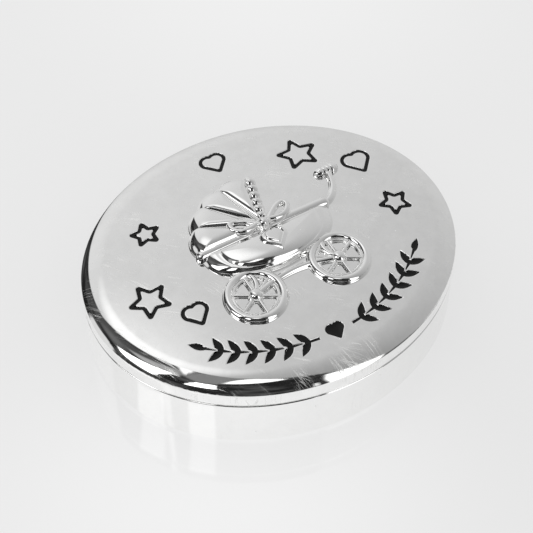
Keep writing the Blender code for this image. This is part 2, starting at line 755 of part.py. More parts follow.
def main():
    clear_scene()
    silver = plain_finish("silver_plate", (0.92, 0.92, 0.92), 0.06, 1.0)
    enamel = plain_finish("black_enamel", (0.012, 0.012, 0.013), 0.25, 0.0)
    velvet = plain_finish("velvet", (0.012, 0.020, 0.075), 0.95, 0.0)
    wadding = plain_finish("wadding", (0.85, 0.85, 0.83), 0.9, 0.0)
    card = plain_finish("grey_card", (0.42, 0.40, 0.37), 0.85, 0.0)
    felt = plain_finish("felt", (0.010, 0.010, 0.012), 0.95, 0.0)
    make_base_shell(silver)
    make_rim_collar(silver)
    make_wall_lining(card, velvet)
    well_level = FLOOR_TOP + PRESS_GAP
    make_covered_pad(
        ("floor_card", "floor_wadding", "floor_velvet"),
        (card, wadding, velvet),
        WELL_INSET + PAD_CLEARANCE,
        well_level,
        1,
        FLOOR_CARD_THICKNESS,
        FLOOR_WADDING_EDGE,
        FLOOR_WADDING_CROWN,
    )
    make_foot_felt(felt)
    make_lid_shell(silver, enamel)
    lid_level = SHOULDER_TOP - CEILING - PRESS_GAP
    make_covered_pad(
        ("lid_card", "lid_wadding", "lid_velvet"),
        (card, wadding, velvet),
        SHOULDER_WIDTH + LID_CARD_MARGIN,
        lid_level,
        -1,
        LID_CARD_THICKNESS,
        LID_WADDING_EDGE,
        LID_WADDING_CROWN,
    )


main()
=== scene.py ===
# %% [markdown]
# # A silver-plated keepsake box for a first lock of hair
#
# The real box is two thin castings, plated and polished until they mirror the
# room. Almost nothing on such a box has a colour of its own: its look comes
# from the exact curve of the metal and from what stands around it. So this
# lesson spends its effort on two things, smooth curved surfaces with real
# grooves and real relief, and a studio worth mirroring.
#
# The working model comes first. It holds the sizes, and every piece made here
# is placed from it.

# %% Load the working model
import math

import bmesh
import bpy
from mathutils import Matrix, Vector


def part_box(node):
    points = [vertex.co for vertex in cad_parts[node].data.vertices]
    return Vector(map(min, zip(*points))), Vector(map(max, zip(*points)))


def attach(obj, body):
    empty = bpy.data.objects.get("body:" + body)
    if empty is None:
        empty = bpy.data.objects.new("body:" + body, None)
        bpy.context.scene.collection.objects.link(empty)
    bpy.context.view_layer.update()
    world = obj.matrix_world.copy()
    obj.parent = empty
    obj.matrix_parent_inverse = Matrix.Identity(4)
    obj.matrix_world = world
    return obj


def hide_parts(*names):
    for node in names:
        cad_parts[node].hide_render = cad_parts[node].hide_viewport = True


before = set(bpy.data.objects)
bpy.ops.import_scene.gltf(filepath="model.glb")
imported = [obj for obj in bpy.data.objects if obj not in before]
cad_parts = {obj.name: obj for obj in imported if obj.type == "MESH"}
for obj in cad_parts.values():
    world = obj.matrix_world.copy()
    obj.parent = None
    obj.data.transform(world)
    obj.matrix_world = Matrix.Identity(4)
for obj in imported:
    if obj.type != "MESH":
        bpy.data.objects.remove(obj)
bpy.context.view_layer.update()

MM = 0.001
print("pieces of the working model:", len(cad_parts))

# %% [markdown]
# ## Sizes
#
# The outer sizes are read from the working model, so they can't drift apart
# from it. The oval is always drawn in by a constant distance, an inset, the
# way a turned or spun part is drawn. The profile of the lid needs a few more
# numbers: a low straight skirt, a shoulder that turns in, and a shallow crown.

# %% Driving sizes
HALF_LENGTH, HALF_WIDTH, BASE_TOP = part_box("base_shell")[1]
LID_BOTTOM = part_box("lid_shell")[0].z
COLLAR_BOTTOM, COLLAR_TOP = (corner.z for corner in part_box("rim_collar"))
SKIRT_TOP = 14.1 * MM
SHOULDER_WIDTH = 4.2 * MM
SHOULDER_RISE = 2.4 * MM
CROWN_RISE = 1.1 * MM
WALL = 1.3 * MM
CEILING = 1.5 * MM
SHOULDER_TOP = SKIRT_TOP + SHOULDER_RISE
CROWN_HALF_LENGTH = HALF_LENGTH - SHOULDER_WIDTH
CROWN_HALF_WIDTH = HALF_WIDTH - SHOULDER_WIDTH
OVAL_SEGMENTS = 240


def crown_height(x, y):
    """Height of the crown over a point. The crown is a shallow dome on an oval."""
    share = (x / CROWN_HALF_LENGTH) ** 2 + (y / CROWN_HALF_WIDTH) ** 2
    return SHOULDER_TOP + CROWN_RISE * (1 - share)


def inset_of(node):
    """How far a piece of the working model is drawn in from the box's oval."""
    return HALF_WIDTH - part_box(node)[1].y


print(f"box {2000 * HALF_LENGTH:.1f} x {2000 * HALF_WIDTH:.1f} mm")
print(f"crown at {1000 * crown_height(0, 0):.1f} mm")

# %% [markdown]
# ## The camera
#
# The camera stands where the photographer stood: in front and to the left,
# looking down at about 52 degrees. A focal length of a hundred millimetres
# keeps the oval from bulging, as in most pictures of small goods.

# %% Camera
CAMERA_PLACE = Vector((-86.32, -146.74, 224.53)) * MM
CAMERA_AZIMUTH = math.radians(-30.24)
CAMERA_ELEVATION = math.radians(51.57)
PICTURE_PIXELS = 533
FOCAL_PIXELS = 1500
SENSOR_WIDTH = 36.0


def make_camera():
    data = bpy.data.cameras.new("camera")
    data.sensor_width = SENSOR_WIDTH
    data.lens = SENSOR_WIDTH * FOCAL_PIXELS / PICTURE_PIXELS
    data.clip_start = 0.01
    camera = bpy.data.objects.new("camera", data)
    camera.location = CAMERA_PLACE
    camera.rotation_euler = (math.pi / 2 - CAMERA_ELEVATION, 0.0, CAMERA_AZIMUTH)
    bpy.context.scene.collection.objects.link(camera)
    bpy.context.scene.camera = camera
    return camera


print(f"lens {make_camera().data.lens:.1f} mm")

# %% [markdown]
# ## Rings
#
# Every piece of this box is a stack of rings: an oval wall, a cushion, a heart
# that swells from the metal. A ring could be joined to the next face by face,
# but Blender's extrude does it in one step and never leaves a gap. The helpers
# below extrude a ring and put each new corner in its place, so that the order
# of the corners is known from the first ring to the last.

# %% Ring helpers
def ring_edges(mesh, ring):
    return [mesh.edges.get(pair) for pair in zip(ring, ring[1:] + ring[:1])]


def extrude_corners(mesh, edges):
    """Extrudes edges. Returns the new corner of each old one."""
    made = bmesh.ops.extrude_edge_only(mesh, edges=edges)["geom"]
    fresh = dict.fromkeys(item for item in made if isinstance(item, bmesh.types.BMVert))
    links = [(edge.other_vert(vertex), vertex) for vertex in fresh for edge in vertex.link_edges]
    return {old: vertex for old, vertex in links if old not in fresh}


def grow_ring(mesh, ring, places):
    """Extrudes a ring and moves each new corner to its place. Where there is no ring yet, starts one."""
    if not ring:
        ring = [mesh.verts.new(place) for place in places]
        for pair in zip(ring, ring[1:] + ring[:1]):
            mesh.edges.new(pair)
        return ring
    twins = extrude_corners(mesh, ring_edges(mesh, ring))
    for vertex, place in zip(ring, places):
        twins[vertex].co = place
    return [twins[vertex] for vertex in ring]


def fill_ring(mesh, ring):
    return bmesh.ops.edgeloop_fill(mesh, edges=ring_edges(mesh, ring))["faces"]


def round_rings(mesh, rings, radii, segments=5):
    """Bevels the rings named by their numbers, each with its own radius."""
    for number, radius in radii.items():
        bmesh.ops.bevel(
            mesh, geom=ring_edges(mesh, rings[number]), offset=radius, offset_type="OFFSET",
            segments=segments, profile=0.5, affect="EDGES", material=-1, clamp_overlap=True,
        )


def finish_piece(name, mesh, material, body, slot, nodes, sharp_angle=35, has_flat_walls=False):
    """Turns a bmesh into a piece that rides on a body and stands for its nodes. The slot is not used."""
    bmesh.ops.remove_doubles(mesh, verts=mesh.verts, dist=1e-7)
    bmesh.ops.recalc_face_normals(mesh, faces=mesh.faces)
    data = bpy.data.meshes.new(name)
    mesh.to_mesh(data)
    mesh.free()
    data.shade_smooth()
    data.set_sharp_from_angle(angle=math.radians(sharp_angle))
    data.materials.append(material)
    piece = bpy.data.objects.new(name, data)
    bpy.context.scene.collection.objects.link(piece)
    if has_flat_walls:
        piece.modifiers.new("even_shading", "WEIGHTED_NORMAL").keep_sharp = True
    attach(piece, body)
    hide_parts(*nodes)
    print(f"{name}: {len(data.polygons)} faces")
    return piece

# %% [markdown]
# ## Finishes: small effects kept in node groups
#
# A polished plate is close to a perfect mirror, and a perfect mirror looks
# false. Real plate has been handled: its polish wanders by a few thousandths
# of a millimetre, hairlines cross it where a cloth has rubbed, and a few
# specks of lint sit on it. Fingers and water drops leave a film that is a few
# percent darker than clear plate. Each effect is built once as a node group
# and used by every material that needs it, with its own values.

# %% Node helpers
def feed(tree, node, links):
    """Fills a node's sockets, given by name or number, each from a value or from another socket."""
    for key, value in links.items():
        if isinstance(value, bpy.types.NodeSocket):
            tree.links.new(value, node.inputs[key])
        else:
            node.inputs[key].default_value = value


def add_node(tree, kind, links, **settings):
    node = tree.nodes.new(kind)
    for name, value in settings.items():
        setattr(node, name, value)
    feed(tree, node, links)
    return node


def use_group(tree, group, links):
    return add_node(tree, "ShaderNodeGroup", links, node_tree=group).outputs


def start_group(name, vectors, floats, outputs):
    """An empty node group. Returns it, its inputs and its output node."""
    group = bpy.data.node_groups.new(name, "ShaderNodeTree")
    sockets = [(label, "INPUT", "NodeSocketVector") for label in vectors]
    sockets += [(label, "INPUT", "NodeSocketFloat") for label in floats]
    sockets += [(label, "OUTPUT", "NodeSocketFloat") for label in outputs]
    for label, way, kind in sockets:
        group.interface.new_socket(label, in_out=way, socket_type=kind)
    return group, group.nodes.new("NodeGroupInput").outputs, group.nodes.new("NodeGroupOutput")


def math_node(tree, operation, *values, is_clamped=False):
    links = dict(enumerate(values))
    return add_node(tree, "ShaderNodeMath", links, operation=operation, use_clamp=is_clamped).outputs[0]


def vector_node(tree, operation, first, second):
    """A vector, or a number where the operation is a distance or a dot product."""
    node = add_node(tree, "ShaderNodeVectorMath", {0: first, 1: second}, operation=operation)
    return node.outputs["Vector" if operation == "ADD" else "Value"]


def noise(tree, vector, scale, detail, roughness=0.5, distortion=0.0):
    links = {"Vector": vector, "Scale": scale, "Detail": detail}
    links |= {"Roughness": roughness, "Distortion": distortion}
    return add_node(tree, "ShaderNodeTexNoise", links).outputs["Fac"]


def ramp(tree, value, low, high, start=0.0, end=1.0, kind="LINEAR"):
    """Runs from the start to the end while the value runs from low to high."""
    links = {"Value": value, "From Min": low, "From Max": high, "To Min": start, "To Max": end}
    return add_node(tree, "ShaderNodeMapRange", links, interpolation_type=kind).outputs[0]


def blend(tree, share, first, second):
    """Between two values."""
    links = {0: share, 2: first, 3: second}
    return add_node(tree, "ShaderNodeMix", links, data_type="FLOAT").outputs[0]


def tint(tree, share, first, second):
    """Between two colours."""
    links = {0: share, 6: first, 7: second}
    return add_node(tree, "ShaderNodeMix", links, data_type="RGBA").outputs[2]


def bump(tree, height, distance):
    return add_node(tree, "ShaderNodeBump", {"Height": height, "Distance": distance}).outputs["Normal"]


def random_cells(tree, vector, scale, channel):
    """The distance from the middle of each cell, and a chance that differs from cell to cell."""
    found = add_node(tree, "ShaderNodeTexVoronoi", {"Vector": vector, "Scale": scale}).outputs
    chance = add_node(tree, "ShaderNodeSeparateColor", {"Color": found["Color"]}).outputs[channel]
    return found["Distance"], chance


# %% Hairlines, wandering polish, haze and lint
HAIRLINE_TURNS = (-1.35, -1.1, -0.7)
HAIRLINE_STRETCH = 22.0
HAIRLINE_SCALE = 75.0
HAIRLINE_WIDTH = 0.03
HAIRLINE_PATCH_SCALES = (110.0, 150.0, 190.0)
HAIRLINE_PATCH_RANGE = (0.60, 0.74)
RUBBED_SHARE = 0.22
LONG_WAVES = 70.0
SHORT_WAVES = 420.0
SHORT_WAVE_HEIGHT = 0.10
SMUDGE_SCALE = 110.0
FILM_SCALE = 330.0
FILM_RANGE = (0.36, 0.64)
DROP_SCALE = 640.0
DROP_EDGE = (0.26, 0.36)
DROP_RARITY = 0.66
DROP_STRENGTH = 0.55
SPLASH_SCALE = 48.0
SPLASH_RANGE = (0.46, 0.58)
LINT_SCALE = 620.0
LINT_SIZE = 0.055

# Places that a ring or a nail has rubbed most: the middle of each and its reach, in millimetres.
RUBBED = (((-1.0, -28.0, 16.3), 7.5), ((-10.0, -28.0, 15.5), 3.5), ((-34.0, 5.0, 15.8), 4.5))


def hairline_group():
    """Fine scratches in three directions, here and there and in the rubbed places. 1 in a scratch."""
    group, given, result = start_group("hairlines", ["Vector"], ["Amount"], ["Mask"])
    place = given["Vector"]
    rubbed = 0.0
    for middle, reach in RUBBED:
        distance = vector_node(group, "DISTANCE", place, [size * MM for size in middle])
        rubbed = math_node(group, "MAXIMUM", rubbed, ramp(group, distance, 0.0, reach * MM, 1.0, 0.0))
    total = 0.0
    for index, (turn, patch_scale) in enumerate(zip(HAIRLINE_TURNS, HAIRLINE_PATCH_SCALES)):
        stretch = {"Rotation": (0.0, 0.0, turn), "Scale": (1.0, 1 / HAIRLINE_STRETCH, 1.0)}
        turned = add_node(
            group, "ShaderNodeMapping", {"Vector": place, **stretch}, vector_type="TEXTURE"
        ).outputs[0]
        shifted = vector_node(group, "ADD", turned, (3.1 * index, 1.7 * index, 0.4))
        streaks = noise(group, shifted, HAIRLINE_SCALE, detail=1.0)
        distance = math_node(group, "ABSOLUTE", math_node(group, "SUBTRACT", streaks, 0.5))
        width = math_node(group, "DIVIDE", distance, HAIRLINE_WIDTH)
        line = math_node(group, "SUBTRACT", 1.0, width, is_clamped=True)
        patches = noise(group, place, patch_scale, detail=2.0)
        shown = math_node(group, "MULTIPLY_ADD", rubbed, RUBBED_SHARE, patches)
        line = math_node(group, "MULTIPLY", line, ramp(group, shown, *HAIRLINE_PATCH_RANGE))
        total = math_node(group, "MAXIMUM", total, line)
    feed(group, result, {"Mask": math_node(group, "MULTIPLY", total, given["Amount"])})
    return group


def polish_group():
    """The wandering of hand polish, long soft waves and low short ones, and the smudges on it."""
    group, given, result = start_group("wandering_polish", ["Vector"], [], ["Height", "Smudge"])
    place = given["Vector"]
    long_waves = noise(group, place, LONG_WAVES, detail=0.0)
    short_waves = noise(group, place, SHORT_WAVES, detail=2.0)
    feed(group, result, {
        "Height": math_node(group, "MULTIPLY_ADD", short_waves, SHORT_WAVE_HEIGHT, long_waves),
        "Smudge": noise(group, place, SMUDGE_SCALE, detail=5.0, roughness=0.62, distortion=0.6),
    })
    return group


def haze_group():
    """The film that hands and water drops leave. 1 where the plate is clear, 0 where it is hazed most."""
    group, given, result = start_group("haze", ["Vector"], ["Amount"], ["Clearness"])
    place = given["Vector"]
    film = ramp(group, noise(group, place, FILM_SCALE, detail=5.0, roughness=0.68), *FILM_RANGE)
    distance, chance = random_cells(group, place, DROP_SCALE, "Green")
    drop = ramp(group, distance, *DROP_EDGE, 1.0, 0.0)
    drop = math_node(group, "MULTIPLY", drop, math_node(group, "GREATER_THAN", chance, DROP_RARITY))
    splashed = ramp(group, noise(group, place, SPLASH_SCALE, detail=1.0), *SPLASH_RANGE)
    drop = math_node(group, "MULTIPLY", drop, splashed)
    clearness = math_node(group, "MULTIPLY_ADD", drop, DROP_STRENGTH, film, is_clamped=True)
    clearness = math_node(group, "SUBTRACT", clearness, 0.5)
    feed(group, result, {"Clearness": math_node(group, "MULTIPLY_ADD", clearness, given["Amount"], 0.5)})
    return group


def lint_group():
    """Sparse specks of dust. 1 on a speck, 0 elsewhere."""
    group, given, result = start_group("lint", ["Vector"], ["Rarity"], ["Mask"])
    distance, chance = random_cells(group, given["Vector"], LINT_SCALE, "Red")
    close = math_node(group, "LESS_THAN", distance, LINT_SIZE)
    rare = math_node(group, "GREATER_THAN", chance, given["Rarity"])
    feed(group, result, {"Mask": math_node(group, "MULTIPLY", close, rare)})
    return group


HAIRLINES, POLISH, HAZE, LINT = hairline_group(), polish_group(), haze_group(), lint_group()
print("node groups:", ", ".join(group.name for group in (HAIRLINES, POLISH, HAZE, LINT)))

# %% [markdown]
# ## Silver plate and enamel
#
# Silver reflects about 93 percent of what falls on it, in all colours alike.
# What tells old plate from new is its roughness. Here it runs from a clear
# mirror to a faint bloom where fingers have been. The hairlines and the
# wandering polish go into a bump, whose height is a real one: a few
# thousandths of a millimetre. The hairlines also get a whitish, partly
# non-metallic colour, a painted sheen that stands for the light a scratch
# scatters. Black enamel is a soft glass: nearly black, with a clear gloss on
# top.

# %% Metal and enamel
CLEAR_SILVER = (0.98, 0.98, 0.975, 1.0)
HAZED_SILVER = (0.93, 0.93, 0.925, 1.0)
LINT_COLOUR = (0.82, 0.82, 0.80, 1.0)
LINT_ROUGHNESS = 0.7
SMUDGE_RANGE = (0.42, 0.72)
SCRATCH_PAINTED_SHEEN = 0.45
SCRATCH_ROUGHNESS = 0.36
SCRATCH_DEPTH = -0.35
POLISH_HEIGHT = 0.006 * MM
ENAMEL_DARK = (0.002, 0.002, 0.002, 1.0)
ENAMEL_LIGHT = (0.007, 0.007, 0.007, 1.0)
ENAMEL_ROUGHNESS = (0.12, 0.34)
ENAMEL_PIT_SCALE = 1800.0
ENAMEL_PIT_DEPTH = 0.02 * MM


def start_material(name):
    material = bpy.data.materials.new(name)
    material.use_nodes = True
    tree = material.node_tree
    place = tree.nodes.new("ShaderNodeTexCoord").outputs["Object"]
    return material, tree, tree.nodes["Principled BSDF"], place


def silver_plate(name, roughness, hairlines, haze, lint_rarity):
    """Polished plate. Its roughness is a pair of values, where it is clear and where it is smudged."""
    material, tree, shader, place = start_material(name)
    polish = use_group(tree, POLISH, {"Vector": place})
    scratches = use_group(tree, HAIRLINES, {"Vector": place, "Amount": hairlines})["Mask"]
    clearness = use_group(tree, HAZE, {"Vector": place, "Amount": haze})["Clearness"]
    specks = use_group(tree, LINT, {"Vector": place, "Rarity": lint_rarity})["Mask"]
    smudged = ramp(tree, polish["Smudge"], *SMUDGE_RANGE, *roughness)
    scratched = math_node(tree, "MULTIPLY_ADD", scratches, SCRATCH_ROUGHNESS, smudged)
    # Scratches get a whitish, partly non-metallic colour: a painted sheen that stands for the light a
    # scratch scatters. Lint specks are whitish dust, their own colour.
    lint_and_painted_scratch_sheen = math_node(tree, "MULTIPLY", scratches, SCRATCH_PAINTED_SHEEN)
    lint_and_painted_scratch_sheen = math_node(tree, "MAXIMUM", specks, lint_and_painted_scratch_sheen)
    height = math_node(tree, "MULTIPLY_ADD", scratches, SCRATCH_DEPTH, polish["Height"])
    feed(tree, shader, {
        "Base Color": tint(tree, lint_and_painted_scratch_sheen, tint(tree, clearness, HAZED_SILVER, CLEAR_SILVER), LINT_COLOUR),
        "Metallic": math_node(tree, "SUBTRACT", 1.0, lint_and_painted_scratch_sheen),
        "Roughness": blend(tree, specks, scratched, LINT_ROUGHNESS),
        "Normal": bump(tree, height, POLISH_HEIGHT),
    })
    return material


def enamel_fill():
    material, tree, shader, place = start_material("black_enamel")
    smudge = use_group(tree, POLISH, {"Vector": place})["Smudge"]
    feed(tree, shader, {
        "Base Color": tint(tree, smudge, ENAMEL_DARK, ENAMEL_LIGHT),
        "Roughness": ramp(tree, smudge, 0.0, 1.0, *ENAMEL_ROUGHNESS),
        "Normal": bump(tree, noise(tree, place, ENAMEL_PIT_SCALE, detail=2.0), ENAMEL_PIT_DEPTH),
        "Specular IOR Level": 0.22,
    })
    return material


POLISHED = silver_plate("silver_plate", (0.04, 0.07), hairlines=0.06, haze=0.3, lint_rarity=0.86)
HANDLED = silver_plate("silver_handled", (0.045, 0.085), hairlines=0.9, haze=1.0, lint_rarity=0.72)
RELIEF = silver_plate("silver_relief", (0.05, 0.10), hairlines=0.25, haze=0.6, lint_rarity=0.90)
INNER_PLATE = silver_plate("silver_inner", (0.10, 0.18), hairlines=0.4, haze=0.6, lint_rarity=0.97)
ENAMEL = enamel_fill()

# %% [markdown]
# ## Velvet, felt and board
#
# Velvet is a forest of short fibres. Seen from the side its tips catch the
# light, which is what the sheen of the shader is for, and seen from above it
# is deep. Where a thumb has passed, the pile leans and the tone shifts, so a
# broad soft noise changes the colour. The same group gives felt its matted
# fibres at a coarser scale, and the grey board behind the lining its grain.

# %% Cloth and board
LEAN_SCALE = 130.0
LEAN_RANGE = (0.35, 0.68)
LEAN_SHARE = 0.65
FIBRE_SHARE = 0.35
FIBRE_ROUGHNESS = (0.86, 1.0)


def fibre_group():
    """Short fibres: a fine height and a slow change of tone where the pile leans."""
    group, given, result = start_group("fibres", ["Vector"], ["Scale"], ["Height", "Tone"])
    stretch = {"Vector": given["Vector"], "Scale": (1.0, 0.35, 0.6), "Rotation": (0.0, 0.0, 0.6)}
    stretched = add_node(group, "ShaderNodeMapping", stretch).outputs[0]
    feed(group, result, {
        "Height": noise(group, given["Vector"], given["Scale"], detail=4.0, roughness=0.7),
        "Tone": noise(group, stretched, LEAN_SCALE, detail=3.0, distortion=0.8),
    })
    return group


FIBRES = fibre_group()


def fibre_material(name, dark, light, scale, depth, sheen=0.0):
    """A matt material of fibres. The sheen is the same all over, so it is set on the shader itself."""
    material, tree, shader, place = start_material(name)
    fibres = use_group(tree, FIBRES, {"Vector": place, "Scale": scale})
    leaning = math_node(tree, "MULTIPLY", ramp(tree, fibres["Tone"], *LEAN_RANGE), LEAN_SHARE)
    mixed = math_node(tree, "MULTIPLY_ADD", fibres["Height"], FIBRE_SHARE, leaning)
    feed(tree, shader, {
        "Base Color": tint(tree, mixed, dark, light),
        "Roughness": ramp(tree, fibres["Height"], 0.0, 1.0, *FIBRE_ROUGHNESS),
        "Normal": bump(tree, fibres["Height"], depth),
        "Specular IOR Level": 0.2,
        "Sheen Weight": sheen,
        "Sheen Roughness": 0.35,
        "Sheen Tint": (0.55, 0.62, 0.95, 1.0),
    })
    return material


VELVET = fibre_material(
    "velvet", (0.004, 0.007, 0.032, 1), (0.016, 0.028, 0.110, 1), scale=5200.0, depth=0.10 * MM, sheen=0.55
)
FELT = fibre_material(
    "felt", (0.006, 0.006, 0.007, 1), (0.030, 0.030, 0.033, 1), scale=2600.0, depth=0.12 * MM, sheen=0.15
)
BOARD = fibre_material(
    "grey_board", (0.30, 0.29, 0.27, 1), (0.44, 0.42, 0.39, 1), scale=1500.0, depth=0.02 * MM
)
for node in ("wall_card", "floor_card", "lid_card"):
    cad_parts[node].data.materials.clear()
    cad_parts[node].data.materials.append(BOARD)

# %% [markdown]
# ## The base
#
# The base is one casting: a foot rim with a shallow recess under it, a wall
# about a millimetre thick and an open top. It could be an extruded oval with
# a Solidify modifier, but the foot, the wall and the inside all differ, so its
# profile is walked round station by station. The corners are then rounded
# with a bevel. Rounding is not a luxury on metal this bright: every crisp line
# of light on the real box is an edge with a small radius.

# %% Ovals
def inset_oval(inset, height):
    """A station: the oval's half-axes, drawn in by an inset, and its height."""
    return (HALF_LENGTH - inset, HALF_WIDTH - inset, height)


def start_oval(mesh, station):
    ring = bmesh.ops.create_circle(mesh, segments=OVAL_SEGMENTS, radius=1.0)["verts"]
    for vertex in ring:
        vertex.co = (vertex.co.x * station[0], vertex.co.y * station[1], station[2])
    return ring


def grow_oval(mesh, ring, old, new):
    """Grows an oval's ring from one station to another."""
    places = [(vertex.co.x * new[0] / old[0], vertex.co.y * new[1] / old[1], new[2]) for vertex in ring]
    return grow_ring(mesh, ring, places)


def stack_ovals(mesh, stations, is_band=False, capped=(0, -1)):
    """Extrudes an oval through its stations and returns the rings. A band comes back to where it began."""
    rings = [start_oval(mesh, stations[0])]
    for old, new in zip(stations, stations[1:]):
        rings.append(grow_oval(mesh, rings[-1], old, new))
    if is_band:
        grow_ring(mesh, rings[-1], [vertex.co.copy() for vertex in rings[0]])
        bmesh.ops.remove_doubles(mesh, verts=mesh.verts, dist=1e-7)
    else:
        for number in capped:
            fill_ring(mesh, rings[number])
    return rings


def make_ovals(name, node, material, slot, stations, roundings, is_band=False, **finish):
    """A piece of the base. Its stations are insets and heights, its roundings segments with radii."""
    mesh = bmesh.new()
    rings = stack_ovals(mesh, [inset_oval(*station) for station in stations], is_band)
    for segments, radii in roundings:
        round_rings(mesh, rings, radii, segments)
    return finish_piece(name, mesh, material, "base", slot, [node], **finish)


# %% Base shell
BASE_CORNER_RADIUS = 0.9 * MM
EDGE_RADIUS = 0.28 * MM
FOOT_RADIUS = 0.2 * MM
FOOT_INSET = 3.1 * MM
FOOT_RECESS = 0.7 * MM
FLOOR_TOP = 2.0 * MM
SMALL_RADIUS = 0.1 * MM

stations = [
    (FOOT_INSET, FOOT_RECESS), (FOOT_INSET, 0.0), (0.0, 0.0),
    (0.0, BASE_TOP), (WALL, BASE_TOP), (WALL, FLOOR_TOP),
]
roundings = [(5, {1: FOOT_RADIUS, 3: EDGE_RADIUS, 4: SMALL_RADIUS}), (8, {2: BASE_CORNER_RADIUS})]
make_ovals(
    "base_shell_plate", "base_shell", POLISHED, "silver_plate", stations, roundings, has_flat_walls=True
)

# %% [markdown]
# ## The locating collar and the lining of the well
#
# A thin strip of metal stands up inside the wall. The lid slides down over
# it, and that is all that holds the lid on. Inside the collar the wall is
# lined with velvet over board. A little roll at the top hides the board, so
# the lining's top corner gets a wide radius.

# %% Collar and wall lining
COLLAR_THICKNESS = 0.8 * MM
COLLAR_INNER_RADIUS = 0.15 * MM
LINING_THICKNESS = 0.4 * MM
LINING_TURN = 1.0 * MM
LINING_RADII = (0.15 * MM, 0.35 * MM)

outer = inset_of("rim_collar")
inner = outer + COLLAR_THICKNESS
stations = [
    (outer, (COLLAR_BOTTOM + COLLAR_TOP) / 2), (outer, COLLAR_TOP), (inner, COLLAR_TOP),
    (inner, COLLAR_BOTTOM), (outer, COLLAR_BOTTOM),
]
make_ovals(
    "rim_collar_plate", "rim_collar", INNER_PLATE, "silver_plate", stations,
    [(5, {1: EDGE_RADIUS, 2: COLLAR_INNER_RADIUS})], is_band=True, has_flat_walls=True,
)

outer = inset_of("wall_velvet")
inner = outer + LINING_TURN
low, high = (corner.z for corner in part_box("wall_velvet"))
under_turn = high - LINING_THICKNESS
stations = [
    (inner, (low + high) / 2), (inner, low), (inner - LINING_THICKNESS, low),
    (inner - LINING_THICKNESS, under_turn), (outer, under_turn), (outer, high), (inner, high),
]
make_ovals(
    "wall_velvet_strip", "wall_velvet", VELVET, "velvet", stations,
    [(5, {5: LINING_RADII[0], 6: LINING_RADII[1]})], is_band=True, sharp_angle=60,
)

# %% [markdown]
# ## The cushions
#
# The well and the lid are each finished with a cushion: board, a thin layer
# of wadding, and velvet drawn round the edge and glued below. The pull of the
# velvet shows. Its edge is round, and small gathers run in from it where the
# cloth was turned round the curve. A cloth simulation suits a large pillow,
# but this pad is two millimetres thick and glued down, so its crown, gathers
# and soft dents are worked out ring by ring.

# %% Cushions
GATHER_COUNT = 46
GATHER_DEPTH = 0.16 * MM
DENT_DEPTH = 0.22 * MM
PAD_RINGS = 26
EDGE_SHARE = 0.4
PAD_REACH = 0.97
TURN_UNDER = 0.45 * MM
BOARD_GAP = 0.05 * MM


# Gathers and dents are mixed from sines of unlike lengths, so that no pattern shows.
def gather(turn, share):
    """How far the cloth is pulled in at an angle: deepest at the edge, gone by the middle."""
    wandering = 0.35 * math.sin(3 * turn + 0.8) + 0.25 * math.sin(7 * turn)
    ripple = math.sin(GATHER_COUNT * turn + 4 * wandering) * (0.6 + 0.4 * math.sin(5 * turn + 1.3))
    return GATHER_DEPTH * ripple * max(0.0, share) ** 5


def dent(x, y):
    """Soft hollows where the pad has been pressed."""
    across = math.sin(210 * x + 0.6) * math.sin(170 * y + 1.1)
    along = math.sin(95 * x - 120 * y)
    return DENT_DEPTH * (0.5 * across + 0.5 * along)


def make_cushion(name, nodes, body, direction, card_thickness, edge):
    """A glued pad: a rounded edge, a crowned face with gathers, and a recess for its board."""
    inset = inset_of(nodes[0])
    low, high = (corner.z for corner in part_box(nodes[0]))
    level, top = (low, high) if direction > 0 else (high, low)
    crown = abs(top - level) - card_thickness - edge
    mesh = bmesh.new()
    shell = [
        inset_oval(inset + TURN_UNDER, level + direction * (card_thickness + BOARD_GAP)),
        inset_oval(inset + TURN_UNDER, level),
        inset_oval(inset, level),
        inset_oval(inset, level + direction * card_thickness),
    ]
    ring, old = stack_ovals(mesh, shell, capped=(0,))[-1], shell[-1]
    for step in range(1, PAD_RINGS + 1):
        progress = step / PAD_RINGS
        turn = math.pi / 2 * min(1.0, progress / EDGE_SHARE)
        share = 1 - max(0.0, progress - EDGE_SHARE) / (1 - EDGE_SHARE) * PAD_REACH
        height = level + direction * (card_thickness + edge * math.sin(turn) + crown * (1 - share**2))
        half_length, half_width, _ = inset_oval(inset + edge * (1 - math.cos(turn)), height)
        new = (half_length * share, half_width * share, height)
        ring, old = grow_oval(mesh, ring, old, new), new
    bmesh.ops.poke(mesh, faces=fill_ring(mesh, ring))
    half_length, half_width, _ = inset_oval(inset, 0.0)
    for vertex in mesh.verts:
        lift = direction * (vertex.co.z - level) - card_thickness
        if lift <= 0:
            continue
        angle = math.atan2(vertex.co.y / half_width, vertex.co.x / half_length)
        share = math.hypot(vertex.co.x / half_length, vertex.co.y / half_width)
        settle = min(1.0, lift / edge)
        pull = gather(angle, share)
        sunk = abs(pull) + (DENT_DEPTH + dent(vertex.co.x, vertex.co.y)) * (1 - share**4)
        vertex.co.z -= direction * sunk * settle
        drawn_in = min(1 - pull * settle / half_width, 1.0)
        vertex.co.x *= drawn_in
        vertex.co.y *= drawn_in
    pad = finish_piece(name, mesh, VELVET, body, "velvet", nodes, sharp_angle=70)
    return pad


make_cushion(
    "well_cushion", ["floor_velvet", "floor_wadding"], "base",
    direction=1, card_thickness=0.8 * MM, edge=1.5 * MM,
)
make_cushion(
    "lid_cushion", ["lid_velvet", "lid_wadding"], "lid",
    direction=-1, card_thickness=0.7 * MM, edge=1.2 * MM,
)

# %% [markdown]
# ## The felt under the foot
#
# A pad of black felt fills the recess under the base, so that the plate
# doesn't mark a dressing table. It is die-cut, so its edge is square with only
# a slight rounding.

# %% Foot felt
FELT_RADII = {0: 0.12 * MM, 1: 0.06 * MM}

inset = inset_of("foot_felt")
make_ovals(
    "foot_felt_pad", "foot_felt", FELT, "felt", [(inset, corner.z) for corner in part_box("foot_felt")],
    [(3, FELT_RADII)], has_flat_walls=True,
)

